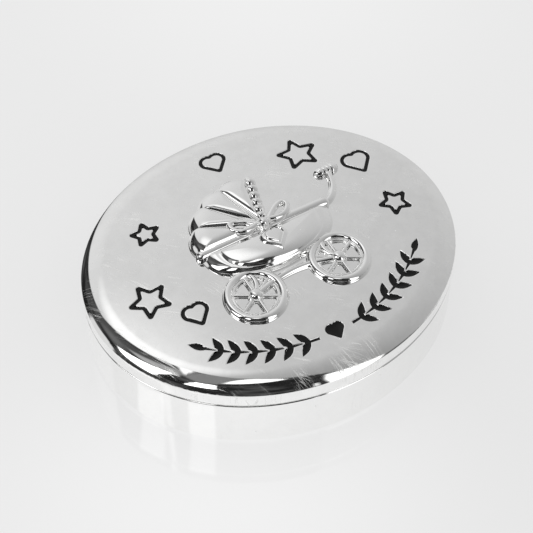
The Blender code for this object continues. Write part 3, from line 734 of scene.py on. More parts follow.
# %% [markdown]
# ## The ornaments on the crown
#
# The lid carries stars and hearts in outline and a leafy garland along its
# front edge, all sunk in the metal and filled with black enamel. Each outline
# is a function of one value, its growth, which moves the whole outline in or
# out by a real distance. One function then gives the rounded lip of the
# groove, its wall and the enamel inside it, and they can't disagree.

# %% Outlines of stars and hearts
STAR_WAIST = 0.50
STAR_TIP_RADIUS = 0.14 * MM
STAR_NOTCH_RADIUS = 0.36 * MM
TIP_POINTS = 9
NOTCH_POINTS = 7
HEART_RADIUS = 0.20 * MM
HEART_LOBE = 1 / 3.2
HEART_SPREAD = 0.6
HEART_RISE = 0.65
HEART_SLOPE = math.radians(42)
CORNER_RADIUS = 0.03 * MM


def polar(centre, reach, turn):
    return (centre[0] + reach * math.cos(turn), centre[1] + reach * math.sin(turn))


def arc_points(centre, radius, start, end, count):
    """Points along an arc about a centre, ends included."""
    return [polar(centre, radius, start + (end - start) * step / (count - 1)) for step in range(count)]


def star_outline(centre, radius, turn, growth=0.0):
    """A plain five-pointed star with rounded tips and notches. Its sides move outwards by the growth."""
    half_turn = math.pi / 5
    tip_half = math.atan2(STAR_WAIST * math.sin(half_turn), 1 - STAR_WAIST * math.cos(half_turn))
    notch_half = half_turn + tip_half
    tip_radius = max(STAR_TIP_RADIUS + growth, CORNER_RADIUS)
    notch_radius = max(STAR_NOTCH_RADIUS - growth, CORNER_RADIUS)
    tip_reach = radius + (growth - tip_radius) / math.sin(tip_half)
    notch_reach = radius * STAR_WAIST + (growth + notch_radius) / math.sin(notch_half)
    tip_sweep, notch_sweep = math.pi / 2 - tip_half, math.pi / 2 - notch_half
    points = []
    for index in range(5):
        tip = turn + 2 * half_turn * index
        notch = tip + half_turn
        inward = notch + math.pi
        middle = polar(centre, tip_reach, tip)
        points += arc_points(middle, tip_radius, tip - tip_sweep, tip + tip_sweep, TIP_POINTS)
        middle = polar(centre, notch_reach, notch)
        points += arc_points(middle, notch_radius, inward + notch_sweep, inward - notch_sweep, NOTCH_POINTS)
    return points


def heart_outline(centre, width, growth=0.0, steps=18):
    """A plain heart, point down, with a rounded notch and point: arcs about four centres."""
    lobe = width * HEART_LOBE
    offset = lobe * HEART_SPREAD
    radius = lobe + growth
    slope = HEART_SLOPE
    x, y = centre[0], centre[1] + lobe * HEART_RISE
    tip_radius = max(HEART_RADIUS + growth, CORNER_RADIUS)
    notch_radius = max(HEART_RADIUS - growth, CORNER_RADIUS)
    turn = math.acos(-offset / (radius + notch_radius))
    tip_drop = (radius - tip_radius + offset * math.cos(slope)) / math.sin(slope)
    notch_rise = (radius + notch_radius) * math.sin(turn)
    return [
        *arc_points((x, y - tip_drop), tip_radius, slope - math.pi, -slope, NOTCH_POINTS),
        *arc_points((x + offset, y), radius, -slope, turn, steps)[1:],
        *arc_points((x, y + notch_rise), notch_radius, turn - math.pi, -turn, NOTCH_POINTS)[1:],
        *arc_points((x - offset, y), radius, math.pi - turn, math.pi + slope, steps)[1:-1],
    ]


# %% Garland
GARLAND_INSET = 3.3 * MM
GARLAND_START = math.radians(7)
GARLAND_END = math.radians(50)
GARLAND_LEAF_PAIRS = 6
FIRST_LEAF = 0.6
LEAF_LENGTH = 3.1 * MM
LEAF_WIDTH = 1.25 * MM
LEAF_LEAN = math.radians(48)
STEM_WIDTH = 0.5 * MM

# A leaf's edge, out to its point and back: shares of its length and of its width.
LEAF_EDGE = (
    (0.02, -0.20), (0.15, -0.36), (0.30, -0.46), (0.46, -0.48), (0.62, -0.42), (0.85, -0.20),
    (1.0, 0.0), (0.85, 0.20), (0.62, 0.42), (0.46, 0.48), (0.30, 0.42), (0.17, 0.14),
)


def outward_ways(points, sharpest=0.35):
    """For each corner of an anticlockwise outline, the mitred direction out of it."""
    ways = []
    for before, here, after in zip(points[-1:] + points[:-1], points, points[1:] + points[:1]):
        first = (Vector(here) - Vector(before)).normalized()
        second = (Vector(after) - Vector(here)).normalized()
        normal = Vector((first.y + second.y, -first.x - second.x)).normalized()
        ways.append(normal / max(normal.dot(Vector((first.y, -first.x))), sharpest))
    return ways


def offset_outline(points, growth):
    """An anticlockwise outline moved outwards by a distance."""
    return [tuple(Vector(point) + way * growth) for point, way in zip(points, outward_ways(points))]


def stem(share):
    """A place on the garland's stem, from its start at 0 to its tip at 1."""
    turn = -math.pi / 2 + GARLAND_START + (GARLAND_END - GARLAND_START) * share
    half_length, half_width = CROWN_HALF_LENGTH - GARLAND_INSET, CROWN_HALF_WIDTH - GARLAND_INSET
    return Vector((half_length * math.cos(turn), half_width * math.sin(turn)))


def leaf(share, hand):
    """The edge of one leaf on the stem. Hand -1 or 1 is its side, and 0 is the leaf at the tip."""
    axis = (stem(share + 0.01) - stem(share - 0.01)).normalized()
    axis.rotate(Matrix.Rotation(LEAF_LEAN * hand, 2))
    wide = axis.orthogonal() * (-hand if hand else 1)
    root = stem(share)
    return [root + axis * LEAF_LENGTH * reach + wide * LEAF_WIDTH * swell for reach, swell in LEAF_EDGE]


def garland_outline():
    """The right half of the garland, anticlockwise: a stem, leaves in pairs and one at the tip."""
    across = (stem(0.01) - stem(0.0)).normalized().orthogonal() * STEM_WIDTH / 2
    outgoing, returning = [stem(0.0) - across], [stem(0.0) + across]
    for index in range(GARLAND_LEAF_PAIRS):
        share = (index + FIRST_LEAF) / (GARLAND_LEAF_PAIRS + FIRST_LEAF)
        outgoing += leaf(share, -1)
        returning += leaf(share, 1)
    return [tuple(point) for point in outgoing + leaf(1.0, 0) + returning[::-1]]


# %% Where the ornaments stand
STROKE = 0.62 * MM
BUD_WIDTH = 3.4 * MM

# Places are shares of the crown's half-length and half-width, sizes are in millimetres, turns in degrees.
STARS = {
    "star_upper_left": (-0.60, 0.50, 2.7, 80),
    "star_left": (-0.80, -0.03, 3.7, 100),
    "star_upper_right": (0.50, 0.62, 3.9, 84),
    "star_right": (0.80, -0.12, 3.0, 98),
}
HEARTS = {
    "heart_top": (0.02, 0.84, 4.6),
    "heart_right": (0.78, 0.33, 5.2),
    "heart_lower_left": (-0.62, -0.30, 4.4),
}


def on_crown(across, up):
    return (across * CROWN_HALF_LENGTH, up * CROWN_HALF_WIDTH)


def star_at(across, up, radius, degrees):
    place, turn = on_crown(across, up), math.radians(degrees)
    return lambda growth: star_outline(place, radius * MM, turn, growth)


def heart_at(across, up, width):
    return lambda growth: heart_outline(on_crown(across, up), width * MM, growth)


def grown(outline):
    return lambda growth: offset_outline(outline, growth)


right_garland = garland_outline()
left_garland = [(-x, y) for x, y in reversed(right_garland)]
bud_place = (0.0, GARLAND_INSET - CROWN_HALF_WIDTH)

# Each ornament is a function of its growth, and half the width of its line. A filled one has no line.
ORNAMENTS = {name: (star_at(*star), STROKE / 2) for name, star in STARS.items()}
ORNAMENTS |= {name: (heart_at(*heart), STROKE / 2) for name, heart in HEARTS.items()}
ORNAMENTS["garland_right"] = (grown(right_garland), 0.0)
ORNAMENTS["garland_left"] = (grown(left_garland), 0.0)
ORNAMENTS["heart_middle"] = (lambda growth: heart_outline(bud_place, BUD_WIDTH, growth), 0.0)
print("ornaments:", ", ".join(ORNAMENTS))

# %% [markdown]
# ## The lid's casting
#
# The crown needs grooves with crisp walls, so the easy way, a black pattern
# painted on a dome, won't do, and a Boolean leaves long thin faces that
# ripple in a mirror. Instead the crown starts flat. Its rim and the grooves'
# outlines are filled in one go, planes cut the fill into small even faces,
# and every corner is then lifted to the dome. The edges round each hole are
# extruded into it: a narrow level border, which keeps the shading of the lip
# away from the mirror, then a rounded lip and the wall.

# %% Crown
CROWN_CUT = 1.1 * MM
BORDER = 0.10 * MM
LIP = 0.15 * MM
LIP_TURNS = [math.radians(degrees) for degrees in (20, 40, 60, 80)]
GROOVE_DEPTH = 0.5 * MM
RIM_SHARE = 0.998
SHARPEST_MITRE = 0.5


def add_outline(mesh, points):
    """An outline at height zero, as edges."""
    return ring_edges(mesh, grow_ring(mesh, None, [(x, y, 0.0) for x, y in points]))


def cut_crown_evenly(mesh):
    """Cuts the flat crown with planes across X and then across Y."""
    for axis, half_size in enumerate((CROWN_HALF_LENGTH, CROWN_HALF_WIDTH)):
        count = int(2 * half_size / CROWN_CUT)
        normal = Vector((axis == 0, axis == 1, 0))
        for index in range(1, count):
            place = normal * half_size * (2 * index / count - 1)
            geometry = mesh.verts[:] + mesh.edges[:] + mesh.faces[:]
            bmesh.ops.bisect_plane(mesh, geom=geometry, dist=1e-6, plane_co=place, plane_no=normal)


def ways_into_holes(edges):
    """For each corner of some open edges, the level direction away from their faces, mitred."""
    sides = {}
    for edge in edges:
        along = edge.verts[1].co - edge.verts[0].co
        across = Vector((-along.y, along.x, 0)).normalized()
        if across.dot(edge.link_faces[0].calc_center_median() - edge.verts[0].co) > 0:
            across.negate()
        for vertex in edge.verts:
            sides.setdefault(vertex, []).append(across)
    ways = {}
    for vertex, pair in sides.items():
        middle = sum(pair, Vector()).normalized()
        ways[vertex] = middle / max(middle.dot(pair[0]), SHARPEST_MITRE)
    return ways


def grow_edges(mesh, edges, ways, inward, below):
    """Extrudes open edges into their holes, to a depth below the dome. Returns the new edges and ways."""
    twins = extrude_corners(mesh, edges)
    for vertex, way in ways.items():
        x, y, _ = vertex.co + way * inward
        twins[vertex].co = (x, y, crown_height(x, y) - below)
    fresh = dict.fromkeys(twins.values())
    around = dict.fromkeys(edge for vertex in fresh for edge in vertex.link_edges)
    edges = [edge for edge in around if all(vertex in fresh for vertex in edge.verts)]
    return edges, {twins[vertex]: way for vertex, way in ways.items()}


def rim_share(vertex):
    """How far out a corner of the crown lies: 1 at the rim."""
    return math.hypot(vertex.co.x / CROWN_HALF_LENGTH, vertex.co.y / CROWN_HALF_WIDTH)


def make_crown(mesh):
    """The domed crown with its grooves. Returns the corners of its rim in order."""
    edges = ring_edges(mesh, start_oval(mesh, (CROWN_HALF_LENGTH, CROWN_HALF_WIDTH, 0.0)))
    for outline, half in ORNAMENTS.values():
        edges += add_outline(mesh, outline(half + LIP + BORDER))
    bmesh.ops.triangle_fill(mesh, edges=edges, use_beauty=True)
    for outline, half in ORNAMENTS.values():
        if half:
            island = add_outline(mesh, outline(-half - LIP - BORDER))
            bmesh.ops.triangle_fill(mesh, edges=island, use_beauty=True)
    cut_crown_evenly(mesh)
    rim, holes = set(), []
    for edge in mesh.edges:
        if edge.is_boundary:
            on_rim = [vertex for vertex in edge.verts if rim_share(vertex) > RIM_SHARE]
            rim.update(on_rim)
            if len(on_rim) < 2:
                holes.append(edge)
    ways = ways_into_holes(holes)
    for vertex in rim:
        vertex.co /= rim_share(vertex)
    for vertex in mesh.verts:
        vertex.co.z = crown_height(vertex.co.x, vertex.co.y)
    edges, ways = grow_edges(mesh, holes, ways, BORDER, 0.0)
    reached = 0.0
    lip = [(LIP * math.sin(turn), LIP * (1 - math.cos(turn))) for turn in LIP_TURNS]
    for inward, below in [*lip, (LIP, LIP + GROOVE_DEPTH)]:
        edges, ways = grow_edges(mesh, edges, ways, inward - reached, below)
        reached = inward
    bmesh.ops.triangle_fill(mesh, edges=edges, use_beauty=True)
    return sorted(rim, key=lambda vertex: math.atan2(vertex.co.y, vertex.co.x))

# %% [markdown]
# From the crown's rim the same casting goes on outwards and down: the
# shoulder, the skirt, the bottom edge, and back up inside to the ceiling. The
# shoulder is an arc of an ellipse that stops short of the vertical, which
# leaves a crease above the skirt. That crease is where the dark of the room
# ends and the white of the table begins in the mirror.

# %% Lid shell
SHOULDER_STEPS = 26
CREASE_TURN = math.radians(18)
CREASE_LIFT = 0.1 * MM
CREASE_RADIUS = 0.16 * MM
HOLLOW_CORNER_RISE = 1.6 * MM
HOLLOW_CORNER_STEPS = 8
CEILING_STEPS = 8


def shoulder_stations():
    """The shoulder, from the crown's rim down to the crease above the skirt."""
    slope = 2 * CROWN_RISE / CROWN_HALF_LENGTH
    crease_height = SKIRT_TOP + CREASE_LIFT
    width = SHOULDER_WIDTH / math.cos(CREASE_TURN)
    rise = (SHOULDER_TOP - crease_height) / (1 - math.sin(CREASE_TURN))
    stations = []
    for step in range(1, SHOULDER_STEPS + 1):
        turn = math.pi / 2 + (CREASE_TURN - math.pi / 2) * step / SHOULDER_STEPS
        inset = width * (math.cos(CREASE_TURN) - math.cos(turn))
        height = crease_height + rise * (math.sin(turn) - math.sin(CREASE_TURN))
        height += slope * (inset - SHOULDER_WIDTH) * math.sin(turn) ** 2
        stations.append(inset_oval(inset, height))
    return stations


def hollow_stations():
    """The inside of the lid, from the skirt's inner edge up the wall to the middle of the ceiling."""
    level = SHOULDER_TOP - CEILING
    stations = [inset_oval(WALL, LID_BOTTOM)]
    for step in range(HOLLOW_CORNER_STEPS + 1):
        turn = math.pi / 2 * step / HOLLOW_CORNER_STEPS
        inset = WALL + (SHOULDER_WIDTH - WALL) * (1 - math.cos(turn))
        stations.append(inset_oval(inset, level - HOLLOW_CORNER_RISE * (1 - math.sin(turn))))
    for step in range(1, CEILING_STEPS):
        share = 1 - step / CEILING_STEPS
        height = level + CROWN_RISE * (1 - share**2)
        stations.append((CROWN_HALF_LENGTH * share, CROWN_HALF_WIDTH * share, height))
    return stations


def make_lid_shell():
    mesh = bmesh.new()
    outside = shoulder_stations()
    crease = len(outside)
    rings, old = [make_crown(mesh)], inset_oval(SHOULDER_WIDTH, SHOULDER_TOP)
    for new in [*outside, inset_oval(0.0, LID_BOTTOM), *hollow_stations()]:
        rings.append(grow_oval(mesh, rings[-1], old, new))
        old = new
    fill_ring(mesh, rings[-1])
    round_rings(mesh, rings, {crease: CREASE_RADIUS})
    round_rings(mesh, rings, {crease + 1: EDGE_RADIUS, crease + 2: SMALL_RADIUS}, segments=4)
    return finish_piece(
        "lid_shell_plate", mesh, HANDLED, "lid", "silver_plate", ["lid_shell"],
        sharp_angle=24, has_flat_walls=True,
    )


make_lid_shell()

# %% [markdown]
# ## Enamel
#
# Enamel is melted into the groove as powder and shrinks as it cools, so its
# face lies a little below the metal and creeps up at the edges. Each fill
# follows the same outlines as its groove, a hair smaller.

# %% Enamel fills
ENAMEL_GAP = 0.02 * MM
ENAMEL_EDGE = 0.10 * MM
ENAMEL_FACE = 0.15 * MM
MENISCUS = 0.09 * MM


def make_enamel(name, outline, half):
    """A fill, from its wall in the groove over its face. A line comes back along its inner side."""
    edge = half - ENAMEL_GAP
    levels = [(edge, GROOVE_DEPTH), (edge, ENAMEL_EDGE), (edge - MENISCUS, ENAMEL_FACE)]
    if half:
        levels += [(-growth, below) for growth, below in reversed(levels)] + levels[:1]
    mesh = bmesh.new()
    ring = None
    for level in levels:
        growth, below = level
        places = [(x, y, crown_height(x, y) - below) for x, y in outline(growth)]
        ring = grow_ring(mesh, ring, places)
        if not half and level in (levels[0], levels[-1]):
            fill_ring(mesh, ring)
    node = "enamel_" + name
    return finish_piece(node + "_fill", mesh, ENAMEL, "lid", "black_enamel", [node], sharp_angle=50)


for name, (outline, half) in ORNAMENTS.items():
    make_enamel(name, outline, half)

# %% [markdown]
# ## Two kinds of relief: swelling forms and bars
#
# The relief is struck in one piece with the lid, so nothing on it may look
# stuck on. Two kinds of form make it all. A puff is an outline that rises
# steeply and rounds off to a soft top, like dough. A bar is a half-round
# moulding along a path. Both start with a small concave fillet at the metal
# they grow from, because no casting or stamping has a sharp inside corner,
# and because that fillet draws the fine dark line round every real relief.

# %% Puffs and bars
FOOT = 0.28 * MM
FOOT_SINK = 0.03 * MM
FOOT_TURNS = [math.radians(degrees) for degrees in (0, 30, 60, 85)]
PUFF_STEPS = 36
PUFF_CROWDING = 1.3
GROOVE_WIDTH = 0.035
PUFF_GROOVE_DEPTH = 0.22 * MM
BAR_STEPS = 18
BAR_END_TURNS = [math.radians(degrees) for degrees in (90, 70, 50, 30, 12)]


def add_puff(mesh, outline, rise, roundness=0.7, groove=None):
    """A cushion-like form on the crown: nearly flat on top at a low roundness, half a ball at 1.

    A groove is cut round the form, like the outline but smaller, where it is given as a share of
    the outline's size.
    """
    ways = outward_ways(outline, sharpest=0.6)
    ring = None
    for turn in FOOT_TURNS:
        reach = FOOT * (1 - math.sin(turn))
        places = []
        for (x, y), way in zip(outline, ways):
            x, y = x + way.x * reach, y + way.y * reach
            places.append((x, y, crown_height(x, y) + FOOT * (1 - math.cos(turn)) - FOOT_SINK))
        ring = grow_ring(mesh, ring, places)
        if turn == 0:
            fill_ring(mesh, ring)
    middle = sum((Vector(point) for point in outline), Vector((0, 0))) / len(outline)
    start = math.asin(FOOT / rise)
    for step in range(1, PUFF_STEPS + 1):
        turn = start + (math.pi / 2 - start) * (1 - (1 - step / PUFF_STEPS) ** PUFF_CROWDING)
        spread = max(math.cos(turn), 1e-9) ** roundness
        height = rise * math.sin(turn)
        cut = 0.0
        if groove:
            cut = PUFF_GROOVE_DEPTH * math.exp(-(((spread - groove) / GROOVE_WIDTH) ** 2))
        places = []
        for point in outline:
            x, y = middle + (Vector(point) - middle) * spread
            places.append((x, y, crown_height(x, y) + height - cut - FOOT_SINK))
        ring = grow_ring(mesh, ring, places)
    bmesh.ops.pointmerge(mesh, verts=ring, merge_co=ring[0].co)


def sweep_section(mesh, stops, ways, radius, lift):
    """Carries a half-round section with a foot fillet past its stops, each a place and a size."""
    foot = [(radius + FOOT * (1 - math.sin(turn)), FOOT * (1 - math.cos(turn))) for turn in FOOT_TURNS]
    top = arc_points((0.0, max(lift, FOOT)), radius, 0.0, math.pi, BAR_STEPS + 1)
    section = foot + top + [(-offset, height) for offset, height in reversed(foot)]
    ring = None
    for (place, size), way in zip(stops, ways):
        across = way.orthogonal()
        places = []
        for offset, height in section:
            x, y = place + across * offset * size
            places.append((x, y, crown_height(x, y) + height * size - FOOT_SINK))
        ring = grow_ring(mesh, ring, places)


def directions(befores, afters):
    return [(after - before).normalized() for before, after in zip(befores, afters)]


def add_bar(mesh, path, radius, lift=0.0, sizes=None):
    """A moulding along a path on the crown, with rounded ends. The sizes vary its radius."""
    path = [Vector(point) for point in path]
    stops = list(zip(path, sizes or [1.0] * len(path)))
    (first,), (last,) = directions(path[:1], path[1:2]), directions(path[-2:-1], path[-1:])
    reaches = [(radius * math.sin(turn), math.cos(turn)) for turn in BAR_END_TURNS]
    head = [(path[0] - first * reach, stops[0][1] * size) for reach, size in reaches]
    tail = [(path[-1] + last * reach, stops[-1][1] * size) for reach, size in reaches]
    count = len(reaches) + 1
    ways = [first] * count + directions(path, path[2:]) + [last] * count
    sweep_section(mesh, head + stops + tail[::-1], ways, radius, lift)


def add_hoop(mesh, path, radius, lift=0.0):
    """A moulding along a closed path on the crown."""
    path = [Vector(point) for point in path]
    ways = directions(path[-1:] + path[:-1], path[1:] + path[:1])
    sweep_section(mesh, [(place, 1.0) for place in path + path[:1]], ways + ways[:1], radius, lift)


def beads(count, lobes, waist):
    """Sizes for the stops of a bar that swells in each lobe and narrows to a waist between them."""
    swells = [abs(math.sin(math.pi * index * lobes / count)) for index in range(count + 1)]
    return [waist + (1 - waist) * swell for swell in swells]


def line_points(start, end, count):
    """Points along a straight line, ends included."""
    return [tuple(Vector(start).lerp(Vector(end), step / (count - 1))) for step in range(count)]


def circle_points(centre, radius, count):
    return arc_points(centre, radius, 0.0, 2 * math.pi * (count - 1) / count, count)


def make_relief(name, *forms, sharp_angle=42):
    """A piece of the relief. Each form is a function that adds it, and what the function is given."""
    mesh = bmesh.new()
    for add_form, *given in forms:
        add_form(mesh, *given)
    return finish_piece(name, mesh, RELIEF, "lid", "silver_plate", ["lid_shell"], sharp_angle)

# %% [markdown]
# ## The raised pram
#
# The pram is drawn the way a die cutter would simplify it: a boat-shaped body
# with a rolled rim, a pleated hood that opens like a fan, a beaded frill, two
# spoked wheels on a bowed chassis with springs, a swept handle and a ribbon
# bow. Its plan is set out from one point, the hood's pivot on the rim.

# %% Body, rim and badge
PIVOT_Y = 2.4 * MM
BODY_HALF_LENGTH = 12.8 * MM
BODY_DEPTH = 8.8 * MM
BODY_PUFF = 2.8 * MM
BODY_FULLNESS = 0.75
BODY_ROUNDNESS = 0.85
BODY_GROOVE = 0.78
RIM_RADIUS = 0.95 * MM
RIM_LIFT = 0.85 * MM
RIM_POINTS = 40
BADGE_WIDTH = 6.6 * MM
BADGE_DROP = 5.2 * MM
BADGE_PUFF = 3.3 * MM
BADGE_ROUNDNESS = 0.45
BADGE_GROOVE = 0.50
BADGE_LOBE_POINTS = 30
FINE_STEPS = 144

body = []
for step in range(FINE_STEPS + 1):
    turn = math.pi + math.pi * step / FINE_STEPS
    bulge = abs(math.sin(turn)) ** BODY_FULLNESS
    body.append((BODY_HALF_LENGTH * math.cos(turn), PIVOT_Y - BODY_DEPTH * bulge))
rim = line_points((-BODY_HALF_LENGTH, PIVOT_Y), (BODY_HALF_LENGTH, PIVOT_Y), RIM_POINTS)
badge = heart_outline((0.0, PIVOT_Y - BADGE_DROP), BADGE_WIDTH, steps=BADGE_LOBE_POINTS)
make_relief("pram_body", (add_puff, body, BODY_PUFF, BODY_ROUNDNESS, BODY_GROOVE))
make_relief("pram_rim", (add_bar, rim, RIM_RADIUS, RIM_LIFT))
make_relief("pram_badge", (add_puff, badge, BADGE_PUFF, BADGE_ROUNDNESS, BADGE_GROOVE))

# %% [markdown]
# The hood is made of puffed gores that lap over one another and meet in crisp
# valleys, as pleated cloth does. The frill is a bar that swells and narrows.

# %% Hood and frill
HOOD_RADIUS = 13.0 * MM
HOOD_PUFF = 2.7 * MM
HOOD_ROUNDNESS = 0.62
HOOD_GORES = 4
HOOD_START = math.radians(80)
HOOD_END = math.radians(176)
HOOD_ROOT = Vector((0.0, PIVOT_Y - 0.5 * MM))
GORE = (HOOD_END - HOOD_START) / HOOD_GORES
GORE_LAP = math.radians(3)
GORE_POINTS = 16
GORE_BULGE = 0.06
FRILL_TURN = HOOD_START - math.radians(6)
FRILL_LOBES = 6
FRILL_STEPS = 60
FRILL_RADIUS = 1.15 * MM
FRILL_WAIST = 0.74
FRILL_LIFT = 1.0 * MM


def gore_outline(start, end):
    """A wedge of the hood: out from its root, round a bulging end and back."""
    arc = []
    for step in range(GORE_POINTS + 1):
        share = step / GORE_POINTS
        reach = HOOD_RADIUS * (1 + GORE_BULGE * math.sin(math.pi * share))
        arc.append(polar(HOOD_ROOT, reach, start + (end - start) * share))
    outgoing = line_points(HOOD_ROOT, arc[0], GORE_POINTS)
    returning = line_points(arc[-1], HOOD_ROOT, GORE_POINTS)
    return outgoing + arc[1:-1] + returning[:-1]


gores = []
for index in range(HOOD_GORES):
    start = HOOD_START + GORE * index
    outline = gore_outline(start - GORE_LAP, start + GORE + GORE_LAP)
    gores.append((add_puff, outline, HOOD_PUFF, HOOD_ROUNDNESS))
make_relief("pram_hood", *gores)

along = Vector((math.cos(FRILL_TURN), math.sin(FRILL_TURN)))
start, end = HOOD_ROOT + along * 2 * FRILL_RADIUS, HOOD_ROOT + along * (HOOD_RADIUS - FRILL_RADIUS / 2)
frill = line_points(start, end, FRILL_STEPS + 1)
sizes = beads(FRILL_STEPS, FRILL_LOBES, FRILL_WAIST)
make_relief("pram_frill", (add_bar, frill, FRILL_RADIUS, FRILL_LIFT, sizes), sharp_angle=30)

# %% Wheels
WHEEL_RADIUS = 4.9 * MM
WHEEL_TRACK = 17.0 * MM
WHEEL_Y = PIVOT_Y - 12.0 * MM
TYRE_RADIUS = 0.8 * MM
TYRE_LIFT = 0.25 * MM
FELLOE_RADIUS = 0.28 * MM
FELLOE_INSET = 0.95 * MM
HUB_RADIUS = 1.35 * MM
HUB_PUFF = 1.5 * MM
HUB_POINTS = 40
SPOKES = 6
SPOKE_RADIUS = 0.36 * MM
SPOKE_LIFT = 0.12 * MM
SPOKE_ROOT = 0.6
SPOKE_POINTS = 8
WHEELS = {"pram_wheel_left": (-WHEEL_TRACK / 2, WHEEL_Y), "pram_wheel_right": (WHEEL_TRACK / 2, WHEEL_Y)}

for name, centre in WHEELS.items():
    tyre = circle_points(centre, WHEEL_RADIUS, FINE_STEPS)
    felloe = circle_points(centre, WHEEL_RADIUS - FELLOE_INSET, FINE_STEPS)
    forms = [(add_hoop, tyre, TYRE_RADIUS, TYRE_LIFT), (add_hoop, felloe, FELLOE_RADIUS, SPOKE_LIFT)]
    for index in range(SPOKES):
        turn = 2 * math.pi * (index + 0.5) / SPOKES
        way = Vector((math.cos(turn), math.sin(turn)))
        root, tip = Vector(centre) + way * HUB_RADIUS * SPOKE_ROOT, Vector(centre) + way * WHEEL_RADIUS
        forms.append((add_bar, line_points(root, tip, SPOKE_POINTS), SPOKE_RADIUS, SPOKE_LIFT))
    make_relief(name, *forms, (add_puff, circle_points(centre, HUB_RADIUS, HUB_POINTS), HUB_PUFF))

# %% Chassis and springs
CHASSIS_RADIUS = 0.55 * MM
CHASSIS_START = 0.04
CHASSIS_BOW = 1.6 * MM
CHASSIS_LIFT = 0.3 * MM
SPRING_START = 0.12
SPRING_BOW = 1.4 * MM
SPRING_REACH = 6.0 * MM
SPRING_LIFT = 0.2 * MM
SWEEP_STEPS = 24

steps = [step / SWEEP_STEPS for step in range(SWEEP_STEPS + 1)]
bowed = []
for share in [CHASSIS_START + (1 - 2 * CHASSIS_START) * step for step in steps]:
    bowed.append((WHEEL_TRACK * (share - 0.5), WHEEL_Y + CHASSIS_BOW * math.sin(math.pi * share)))
forms = [(add_bar, bowed, CHASSIS_RADIUS, CHASSIS_LIFT)]
for x, y in WHEELS.values():
    bow = math.copysign(SPRING_BOW, -x)
    rises = [SPRING_START + (1 - SPRING_START) * step for step in steps]
    spring = [(x + bow * math.sin(math.pi * rise), y + SPRING_REACH * rise) for rise in rises]
    forms.append((add_bar, spring, CHASSIS_RADIUS, SPRING_LIFT))
make_relief("pram_chassis", *forms)

# %% Handle
HANDLE_RADIUS = 0.6 * MM
HANDLE_LIFT = 0.3 * MM
HANDLE_LAP = 0.6 * MM
HANDLE_REACH = 5.2 * MM
HANDLE_HEIGHT = 7.0 * MM
GRIP_RADIUS = 1.05 * MM
GRIP_LENGTH = 4.2 * MM
GRIP_LIFT = 0.2 * MM
GRIP_RINGS = 4
GRIP_WAIST = 0.90
GRIP_STEPS = 40

foot = Vector((BODY_HALF_LENGTH - HANDLE_LAP, PIVOT_Y))
sweep = []
for turn in [math.pi / 2 * step for step in steps]:
    sweep.append((foot.x + HANDLE_REACH * math.sin(turn), foot.y + HANDLE_HEIGHT * (1 - math.cos(turn))))
tip = foot + Vector((HANDLE_REACH, HANDLE_HEIGHT))
half_grip = Vector((GRIP_LENGTH / 2 - GRIP_RADIUS / 2, 0))
grip = line_points(tip - half_grip, tip + half_grip, GRIP_STEPS + 1)
sizes = beads(GRIP_STEPS, GRIP_RINGS, GRIP_WAIST)
forms = [(add_bar, sweep, HANDLE_RADIUS, HANDLE_LIFT), (add_bar, grip, GRIP_RADIUS, GRIP_LIFT, sizes)]
make_relief("pram_handle", *forms, sharp_angle=30)

# %% Bow
BOW_START = 0.3 * MM
BOW_LOOP_LENGTH = 6.0 * MM
BOW_LOOP_WIDTH = 4.6 * MM
BOW_LOOP_POINTS = 48
BOW_FILL_PUFF = 2.3 * MM
BOW_FILL_ROUNDNESS = 0.4
BOW_RISE = 0.30
BOW_EDGE_RADIUS = 0.55 * MM
BOW_EDGE_LIFT = 2.4 * MM
KNOT_RADIUS = 1.3 * MM
KNOT_PUFF = 3.4 * MM
KNOT_POINTS = 40


def bow_loop(side):
    """One loop of the bow: a pointed oval that widens away from the knot."""
    outline = []
    for step in range(BOW_LOOP_POINTS):
        turn = 2 * math.pi * step / BOW_LOOP_POINTS
        along = BOW_START + BOW_LOOP_LENGTH / 2 * (1 + math.cos(turn))
        fullest = math.sin(max(turn, 2 * math.pi - turn) / 2 - math.pi / 2)
        across = BOW_LOOP_WIDTH / 2 * math.sin(turn) * fullest
        outline.append((side * along, PIVOT_Y + across + BOW_RISE * along))
    return outline if side > 0 else outline[::-1]


forms = []
for loop in (bow_loop(-1), bow_loop(1)):
    edge = offset_outline(loop, -BOW_EDGE_RADIUS)
    forms.append((add_puff, loop, BOW_FILL_PUFF, BOW_FILL_ROUNDNESS))
    forms.append((add_hoop, edge, BOW_EDGE_RADIUS, BOW_EDGE_LIFT))
knot = circle_points((0.0, PIVOT_Y), KNOT_RADIUS, KNOT_POINTS)
make_relief("pram_bow", *forms, (add_puff, knot, KNOT_PUFF))

# %% [markdown]
# ## Table and studio
#
# The box stands on glossy white acrylic that is lit from below, so that it
# hardly shows a shadow. The glow is for the camera and for mirrors alone, and
# puts no light on the box. On the acrylic is painted light: a brighter pool in
# front of the box, a painted shade at its right, and bright patches that only
# mirrors see. The room is what the metal mirrors: a whitish screen behind and
# to the right, a dark room on the camera's side, and in that dark a window and
# a few softboxes.
#
# Each of them is flat, and a flat light seen from the box is a patch of sky
# with straight edges. An edge and the eye make a plane, so a direction is in
# the patch if it lies on the inner side of the plane of every edge. The world
# works this out for mirrored rays. The camera sees plain white, and matt
# surfaces are lit by an even white sky, so that every colour renders about as
# it is written.

# %% Flat patches
def facing_sides(edges, inside):
    """The planes through the eye and each edge, facing a direction on their inner side."""
    sides = [first.cross(second).normalized() for first, second in edges]
    return [side if side.dot(inside) > 0 else -side for side in sides]


def patch_sides(corners):
    return facing_sides(zip(corners, corners[1:] + corners[:1]), sum(corners, Vector()))


